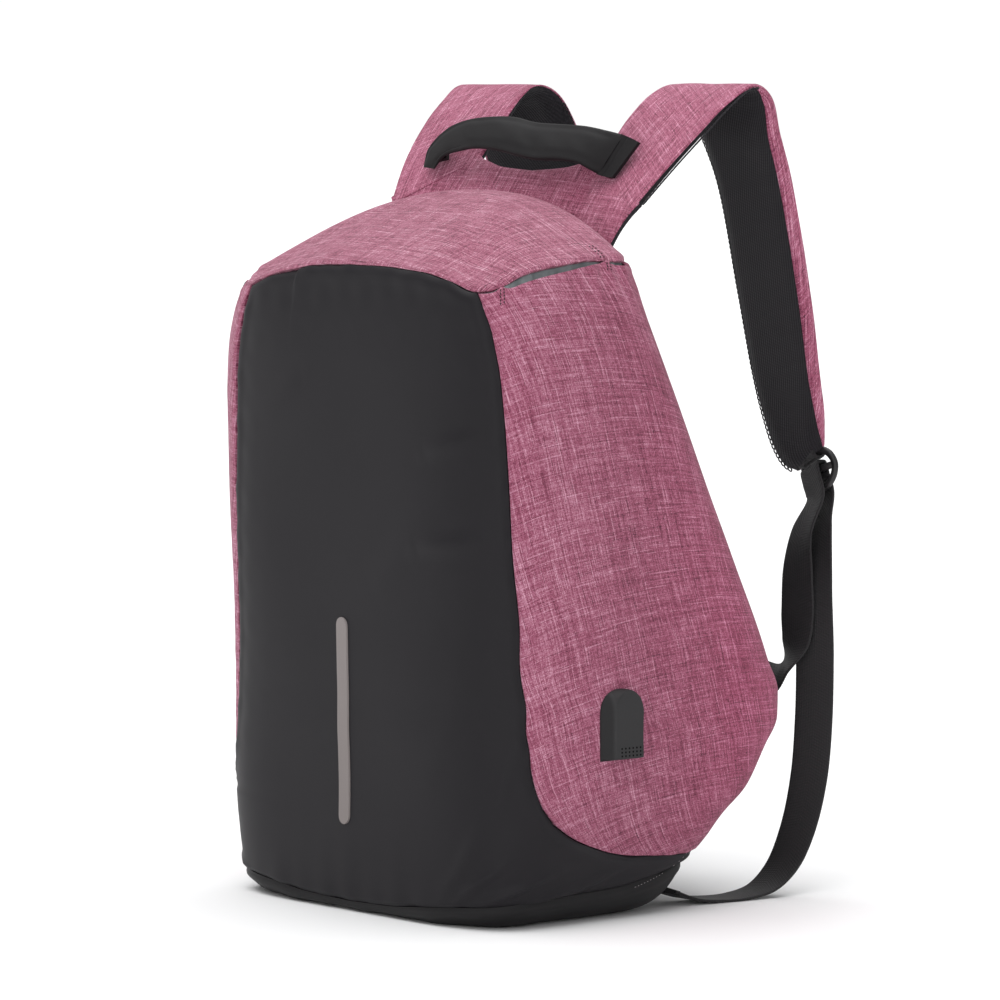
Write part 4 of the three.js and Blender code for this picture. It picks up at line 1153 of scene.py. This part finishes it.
for name, rows in HANDLE_ENDS.items():
    t, shares = ease(24), ease(32)
    up, low = (path(t) for path in two_paths(rows))
    body = between_edges(low, up, shares)
    out = unit(np.cross(unit(up - low)[:, None], unit(np.gradient(body, axis=0))))
    out = out * np.sign(out[12, 16, 2])
    ribs = 0.00015 * np.cos(shares * 2 * math.pi * 14)
    seam = 0.0006 * bell((t - 0.3) / 0.06)[:, None]
    lay = raised(body, out, 0.0013 + ribs - seam)
    piece = grid_mesh(f"handle_end_{name}", lay, body - out * 0.0011, flat_uv(lay))
    dress(piece, handle_cloth, f"handle_tab_{name}")


# Webbing: flat woven tape from the heel of the bag, up to the slider, round its bar and back to the side.
# It turns to face the camera as it climbs, and is gathered narrow where it meets the side seam.
WEB_HALF = 12.5
WEB_THICK = 1.8
SLIDER = np.array([119.6, 204.6, 268.4])
# Directions across, down and back from the slider's middle.
SLIDER_AXES = np.array([[0.897, -0.256, 0.359], [0.365, -0.027, -0.931], [0.248, 0.966, 0.069]])
# Place in mm, then the direction across the tape.
WEB_RISE = [
    (108, 88.5, 8.4, 1, 0.1, 0),
    (111.5, 103, 3.4, 1, 0, 0),
    (114.5, 120, 1.4, 1, 0, 0),
    (117.5, 141, 1.6, 1, 0.05, 0),
    (120, 160, 6, 1, 0.12, 0),
    (122.5, 175, 19, 0.95, 0.22, 0),
    (125, 186, 42, 0.9, 0.35, 0),
    (126.5, 194, 74, 0.85, 0.45, 0),
    (126.5, 198, 110, 0.82, 0.5, 0),
    (126.5, 199, 150, 0.82, 0.5, 0),
    (125, 200, 200, 0.86, 0.3, 0.05),
    (124.5, 205, 236, 0.95, -0.1, 0.2),
]
WEB_TAIL = [
    (118, 195, 230, 0.97, -0.2, 0.1),
    (116, 193.5, 205, 0.95, 0.1, 0),
    (116, 193.5, 180, 0.9, 0.2, 0),
    (115, 192.5, 160, 0.86, 0, 0),
    (110, 188, 143.5, 0.76, -0.6, -0.2),
    (102, 180, 137, 0.5, -0.1, -0.8),
    (94, 173.5, 134, 0.4, 0.05, -0.88),
    (86, 170.4, 131, 0.36, 0, -0.92),
    (79, 169.8, 128.5, 0.34, 0, -0.94),
]
# Turns round the slider's lower and upper bars: mm down and back from its middle.
WEB_TURN = [
    *((16, 3.4), (4, 3.2), (-2, 3.1), (-4, 2.5), (-4.5, 0)),
    *((-4, -2.5), (-2, -3.1), (4, -3.2), (16, -3.6)),
]
LOOP_HALF_TURN = [(-13.9, 3.3), (-12, 3.3), (-9.6, 3.3), (-8, 2.6), (-7.6, 0)]
LOOP_TURN = LOOP_HALF_TURN + [(down, -back) for down, back in LOOP_HALF_TURN[-2::-1]]
# Heel tab: its sewn edge, then its free edge, in mm.
HEEL_TAB = [
    (79.5, 85.2, 12.0, 95.6, 86.7, 8.4),
    (92.2, 84.2, 11.8, 108, 88.2, 8.4),
    (105.6, 81.5, 11.4, 120.4, 89.2, 8.4),
]


def webbing_cloth(name, colour=(0.0115, 0.0105, 0.0118)):
    """Black tape with fine slanting ribs."""
    g = Graph(name, Specular_IOR_Level=0.3, Sheen_Weight=0.05)
    u, w = g.grain()[:2]
    slant = (w * (2 * math.pi / 0.0019) + (u * (math.pi / 0.0032)).fold() * 1.4).sine()
    knit = slant * 0.35 + u.wave(0.0016) * 0.25 + 0.5
    wear = g.noise(g.join(u, w), 300, 2)
    light = (knit * 0.6 + wear * 0.5).lift(0.3, 1.0)
    g.set(Base_Color=g.blend(light, colour, tuple(k * 1.45 for k in colour)), Roughness=0.55 + wear * 0.15)
    g.bump(knit, 0.00022, 0.7)
    return g.material


def tape(name, rows, count):
    """A tape through rows of (place, direction across), with a rounded edge."""
    t = ease(count - 1)
    line = flowing([row[:3] for row in rows])(t)
    across = unit(flowing([row[3:] for row in rows], 1.0)(t))
    ahead = unit(np.gradient(line, axis=0))
    across = unit(across - ahead * np.sum(across * ahead, -1, keepdims=True))
    half_row = np.array([0, 0.3, 0.6, 0.9, 0.95, 0.985, 1])
    shares = np.concatenate([-half_row[:0:-1], half_row])
    round_edge = np.sqrt(clamp(1 - clamp((np.abs(shares) - 0.9) / 0.1) ** 2))
    reach = shares * WEB_HALF * 0.001
    body = line[:, None] + across[:, None] * reach[None, :, None]
    half_thick = (round_edge * 0.8 + 0.2) * WEB_THICK * 0.0005
    lift = np.cross(across, ahead)[:, None] * half_thick[None, :, None]
    run = arc_lengths(line[:, None], 0, 0)
    return grid_mesh(name, body + lift, body - lift, np.stack(np.broadcast_arrays(reach[None], run), -1))


def by_slider(turns):
    return [(*(SLIDER + [0, down, back] @ SLIDER_AXES), *SLIDER_AXES[0]) for down, back in turns]


web_cloth = webbing_cloth("black_webbing_tape")
for name, sign in SIDES:
    mirror = np.array([sign, 1, 1])
    whole = ("strap_tape", WEB_RISE + by_slider(WEB_TURN) + WEB_TAIL, 700, "webbing")
    loop = ("slider_loop", by_slider(LOOP_TURN), 90, "strap_loop")
    for label, rows, count, node in (whole, loop):
        piece = tape(f"{label}_{name}", np.array(rows) * [*mirror, *mirror], count)
        dress(piece, web_cloth, f"{node}_{name}")
    t, down = ease(16), ease(12)
    sewn_edge, free_edge = (path(t) for path in two_paths(HEEL_TAB))
    body = mix(sewn_edge[None], free_edge[None], down[:, None, None]) * mirror
    half_thick = np.array([0, 0.3, 0.95]) * mix(0.0022, 0.0013, down)[:, None, None]
    piece = grid_mesh(f"heel_tab_{name}", body + half_thick, body - half_thick, flat_uv(body))
    dress(piece, web_cloth, f"webbing_tab_{name}")

# Sliders: one moulded ring with a bar across it; its sides sweep out and bow back.
# Rows are mm across, down and back from the slider's middle, for half of the ring, top to bottom.
RING_HALF = [
    *((0, -11.6, 0), (9, -11.6, 0), (14.5, -11, 0.6), (18.3, -7, 3.4)),
    *((19.4, 0, 5), (18, 7, 3.2), (13.5, 11.6, 0.5), (7, 12, 0)),
]
plastic = Graph("black_moulded_plastic", Base_Color=(0.012, 0.0115, 0.0125, 1), Specular_IOR_Level=0.45)
speck = plastic.noise(plastic.place(), 1500, 2)
plastic.set(Roughness=0.36 + speck * 0.2)
plastic.bump(speck, 0.00005, 0.3)


def bar_mesh(path, closed, half_flat, half_thick):
    """Rings of a rounded bar along a path of slider places."""
    ahead = unit(np.roll(path, -1, 0) - np.roll(path, 1, 0)) if closed else unit(np.gradient(path, axis=0))
    flat = unit(np.cross(ahead, np.array([0, 0, 1.0])))
    turn = np.linspace(0, 2 * math.pi, 17)[:-1]
    c, s = (np.sign(k) * np.abs(k) ** 0.7 for k in (np.cos(turn), np.sin(turn)))
    section = flat[:, None] * (c * half_flat)[None, :, None]
    return path[:, None] + section + np.cross(flat, ahead)[:, None] * (s * half_thick)[None, :, None]


half = np.array(RING_HALF, float)
ring_path = np.concatenate([half, [(0, 12.1, 0)], half[:0:-1] * [-1, 1, 1], half[:1]])
span = np.linspace(-1, 1, 25)
bar_path = np.stack([18.2 * span, 0 * span + 0.5, 3.6 * span**6], -1)
ring = bar_mesh(flowing(ring_path, 1.0)(ease(96)[:-1]), True, 2.3, 1.9)
bar = bar_mesh(bar_path, False, 2.3, 1.7)
faces, start = [], 0
for tube, joined in ((ring, 0), (bar, 1)):
    rows, count = tube.shape[:2]
    index = start + np.arange(rows * count).reshape(rows, count)
    after, side = np.roll(index, -1, 0), np.roll(index, -1, 1)
    quads = np.stack([index, side, np.roll(after, -1, 1), after], -1)
    faces += quads[: rows - joined].reshape(-1, 4).tolist()
    start += rows * count
faces += [index[0, ::-1].tolist(), index[-1].tolist()]
slider_points = SLIDER + np.concatenate([ring.reshape(-1, 3), bar.reshape(-1, 3)]) @ SLIDER_AXES
for name, sign in SIDES:
    mesh = bpy.data.meshes.new(f"slider_ring_{name}")
    mesh.from_pydata((slider_points * [sign, 1, 1] / 1000).tolist(), [], faces)
    piece = finished(f"slider_ring_{name}", mesh)
    dress(piece, plastic.material, f"slider_{name}")

# Reflective strip: a rounded grey tape let into the front.
# It follows the swell of the cloth and stands just proud of it.
STRIP_LOW, STRIP_HIGH, STRIP_HALF = 0.055, 0.185, 0.0055
reflective = Graph("reflective_tape", Metallic=0.2, Specular_IOR_Level=0.4)
grain = reflective.noise(reflective.place(), 1800, 2)
# Painted light: the tape is made lighter towards its top.
tone = reflective.parts(reflective.place())[2].lift(STRIP_LOW, STRIP_HIGH) * 0.6 + grain * 0.4
colour = reflective.blend(tone, (0.19, 0.165, 0.16), (0.225, 0.2, 0.195))
reflective.set(Base_Color=colour, Roughness=0.4 + grain * 0.15)
reflective.bump(grain, 0.00005, 0.3)


def front_point(x, z, off):
    """A place on the front cloth in metres, lifted off it."""
    front_y, rear, _ = body_reach(z)
    turn = np.arctan2(x, (rear - front_y) / 2)
    v = share(turn, z)
    return raised(skin(turn, v), outward(turn, v), off + swell(x, z))


z_rows = (STRIP_HIGH + STRIP_LOW) / 2 - (STRIP_HIGH - STRIP_LOW) / 2 * np.cos(np.linspace(0, math.pi, 81))
near_end = clamp(np.minimum(z_rows - STRIP_LOW, STRIP_HIGH - z_rows) / STRIP_HALF)
wide_rows = STRIP_HALF * np.sqrt(np.clip(1 - (1 - near_end) ** 2, 0.002, 1))
shares = np.linspace(-1, 1, 17)
x_grid = wide_rows[:, None] * shares
z_grid = z_rows[:, None] + 0 * x_grid
from_rim = clamp((1 - np.abs(shares)) * wide_rows[:, None] / 0.0007)
lay = front_point(x_grid, z_grid, 0.0002 + 0.0009 * np.sqrt(from_rim * (2 - from_rim)))
under = front_point(x_grid, z_grid, -0.0004)
strip = grid_mesh("reflective_band", lay, under, np.stack([x_grid, z_grid], -1))
dress(strip, reflective.material, "reflective_strip")

# Socket cover: a moulded rubber hood low on the right side, with a grille of near-black dots painted as the
# shade in its holes.
# It slopes up from its front edge, and steps down sharply at its top, back and foot.
COVER_Y, COVER_HALF = 0.0105, 0.0158
COVER_LOW, COVER_HIGH = 0.102, 0.146
COVER_TALL = 0.006
bevel_end = COVER_Y - COVER_HALF + 0.0068
rubber = Graph("socket_cover_rubber", Specular_IOR_Level=0.3)
bloom = rubber.noise(rubber.place(), 900, 2)
# Painted shade darkens the sloped front bevel, and a painted highlight lightens the narrow ridge where the
# bevel meets the face.
cover_side = rubber.parts(rubber.place())[1]
painted_bevel_shade = cover_side.lift(bevel_end - 0.0012, bevel_end + 0.0006)
ridge = 1.0 - ((cover_side - bevel_end - 0.0012) * 900.0).fold().lift(0.0, 1.0)
colour = rubber.blend(painted_bevel_shade * 0.7 + ridge * 0.3, (0.011, 0.0105, 0.0115), (0.0255, 0.0248, 0.0262))
rubber.set(Base_Color=colour, Roughness=0.55 + bloom * 0.15)
rubber.bump(bloom, 0.00006, 0.4)


def side_point(y, z, off):
    """A place on the right side cloth in metres, lifted off it."""
    front_y, rear, half = body_reach(z)
    turn = np.arctan2(half, (rear + front_y) / 2 - y)
    v = share(turn, z)
    return raised(skin(turn, v), outward(turn, v), off)


z_rows = mix(COVER_LOW, COVER_HIGH, 1 - (1 - ease(60)) ** 1.7)
bend = clamp((z_rows - COVER_HIGH + COVER_HALF) / COVER_HALF)[:, None]
wide = COVER_HALF * np.sqrt(np.clip(1 - bend**2.4, 0.0015, 1))
shares = np.concatenate([np.linspace(-1, -0.5, 22), np.linspace(-0.47, 0.8, 20), np.linspace(0.82, 1, 12)])
y_grid = COVER_Y + wide * shares
z_grid = z_rows[:, None] + 0 * y_grid
from_front = y_grid - (COVER_Y - wide) - 0.0004
bevel = clamp(from_front / 0.0075) * 0.92 + 0.08 * (from_front > 0)
from_back, from_foot, from_top = COVER_Y + wide - y_grid, z_grid - COVER_LOW, COVER_HALF * (1 - bend)
from_rest = np.minimum(np.minimum(from_back, from_foot), from_top)
slope = np.minimum(bevel, clamp(from_rest / 0.0013) ** 0.6)
dish = 0.0004 * np.sin(math.pi * clamp((z_grid - COVER_LOW) / 0.03)) * (slope > 0.98)
lay = side_point(y_grid, z_grid, 0.0004 + COVER_TALL * slope - dish)
cover = grid_mesh("socket_cover", lay, side_point(y_grid, z_grid, -0.0008), np.stack([y_grid, z_grid], -1))
dress(cover, rubber.material, "usb_cover")


def on_surface(piece, points, lift):
    """Points pulled onto a piece's surface, with the surface's direction there."""
    found = [piece.closest_point_on_mesh(Vector(point))[1:3] for point in points]
    lifted = np.array([place + normal * lift for place, normal in found])
    return lifted, np.array([normal for _, normal in found])


dot_rows = [
    (COVER_Y - 0.003 + 0.003 * i, COVER_LOW + 0.0075 - 0.0023 * j)
    for j in range(3)
    for i in range(6)
]
dot_y, dot_z = (np.array(column) for column in zip(*dot_rows))
places, up = on_surface(cover, side_point(dot_y, dot_z, COVER_TALL), 0.00003)
ahead = np.array([[0, 1, 0]] * len(places))
# Painted shade: the grille's dots are near-black discs standing in for shade in its holes.
painted_hole_shade = Graph("grille_painted_hole_shade", Roughness=0.8, Specular_IOR_Level=0.1)
painted_hole_shade.set(Base_Color=(0.002, 0.002, 0.002, 1))
sizes = {"Long": 0.0014, "Wide": 0.0014, "Tall": 0.0002}
dots = repeats("socket_grille", places, ahead, up, painted_hole_shade.material, bead_shape, **sizes)
dress(dots, None)

# Bar-tacks and stitches: short dark red bars across each end of the slits.
# Pale dots climb from the base at the heel onto the end of the front's tongue.
TACK_SIZES = {"Long": 0.0016, "Wide": 0.0008, "Tall": 0.0006}
HEEL_SIZES = {"Long": 0.0012, "Wide": 0.0004, "Tall": 0.0003}
TACK_PITCH = 0.0019
STITCH_LIFT = 0.0002
thread = Graph("dark_red_thread", Base_Color=(0.022, 0.002, 0.006, 1), Roughness=0.6)
pale_thread = Graph("pale_thread", Base_Color=(0.3, 0.27, 0.28, 1), Roughness=0.6)
for name, sign in SIDES:
    side_piece = bpy.data.objects[f"side_cloth_{name}"]
    # Turn in degrees, start from the slit in metres, way up or down, stitches in a column, and the cloth.
    bars = (
        (TACKS[0] + 0.2, -0.0026, -1, 5, side_piece),
        (TACKS[1], 0.0022, 1, 5, top),
        (TACKS[1] + 0.6, -0.0026, -1, 3, side_piece),
    )
    found = []
    for degrees, start, way, count, cloth in bars:
        for column in (-0.5, 0.5):
            run = start + way * TACK_PITCH * np.arange(count)
            turn = np.radians(degrees + column - way * run * 100) * sign
            v = 2 + np.where(run > 0, run / TOP_RATE, run / WALL_RATE)
            places, up = on_surface(cloth, skin(turn, v), STITCH_LIFT)
            found.append((places, unit(np.gradient(places, axis=0)), up))
    places, ahead, up = (np.concatenate(rows) for rows in zip(*found))
    piece = repeats(f"bar_tack_{name}", places, ahead, up, thread.material, bead_shape, **TACK_SIZES)
    dress(piece, None)
    low_places = skin(np.radians(np.linspace(106, 113.2, 10)) * sign, np.linspace(0.968, 0.992, 10))
    high_places = skin(np.radians(np.linspace(114, 121, 9)) * sign, np.linspace(1.01, 1.034, 9))
    on_base = on_surface(base, low_places, STITCH_LIFT)
    on_front = on_surface(front, high_places, STITCH_LIFT)
    places, up = (np.concatenate(both) for both in zip(on_base, on_front))
    ahead = unit(np.gradient(places, axis=0))
    pale = pale_thread.material
    piece = repeats(f"heel_stitch_{name}", places, ahead, up, pale, bead_shape, **HEEL_SIZES)
    dress(piece, None)

# Floor and light: a wide pale floor under a very soft overhead light, with a white band of sky round it.
# A weaker light from the front right fills the shade on the side.
FLOOR_HALF = 40
floor_mesh = bpy.data.meshes.new("floor")
corners = [(x * FLOOR_HALF, y * FLOOR_HALF, 0) for x, y in ((-1, -1), (1, -1), (1, 1), (-1, 1))]
floor_mesh.from_pydata(corners, [], [(0, 1, 2, 3)])
paint = Graph("pale_floor", Base_Color=(0.86, 0.86, 0.865, 1), Roughness=0.95, Specular_IOR_Level=0.0)
floor_mesh.materials.append(paint.material)
linked("floor", floor_mesh)
world = bpy.data.worlds.new("studio")
bpy.context.scene.world = world
world.use_nodes = True
sky = world.node_tree
height = sky.nodes.new("ShaderNodeSeparateXYZ")
sky.links.new(sky.nodes.new("ShaderNodeTexCoord").outputs["Generated"], height.inputs[0])
band = sky.nodes.new("ShaderNodeMapRange")
band.interpolation_type = "SMOOTHSTEP"
for name, number in (("From Min", 0.16), ("From Max", 0.4), ("To Min", 1.02), ("To Max", 0.3)):
    band.inputs[name].default_value = number
sky.links.new(height.outputs["Z"], band.inputs["Value"])
sky.links.new(band.outputs["Result"], sky.nodes["Background"].inputs["Strength"])
sky.nodes["Background"].inputs["Color"].default_value = (1, 1, 1, 1)


def soft_light(name, place, spread, strength):
    lamp = bpy.data.lights.new(name, "SUN")
    lamp.angle = math.radians(spread)
    lamp.energy = strength
    made = linked(name, lamp)
    made.location = place
    made.rotation_euler = Vector(place).to_track_quat("Z", "Y").to_euler()


soft_light("overhead", (-0.3, -0.05, 2.5), 75, 3.3)
soft_light("front", (1.6, -1.9, 1.1), 50, 0.6)
bpy.context.scene.view_settings.view_transform = "Standard"
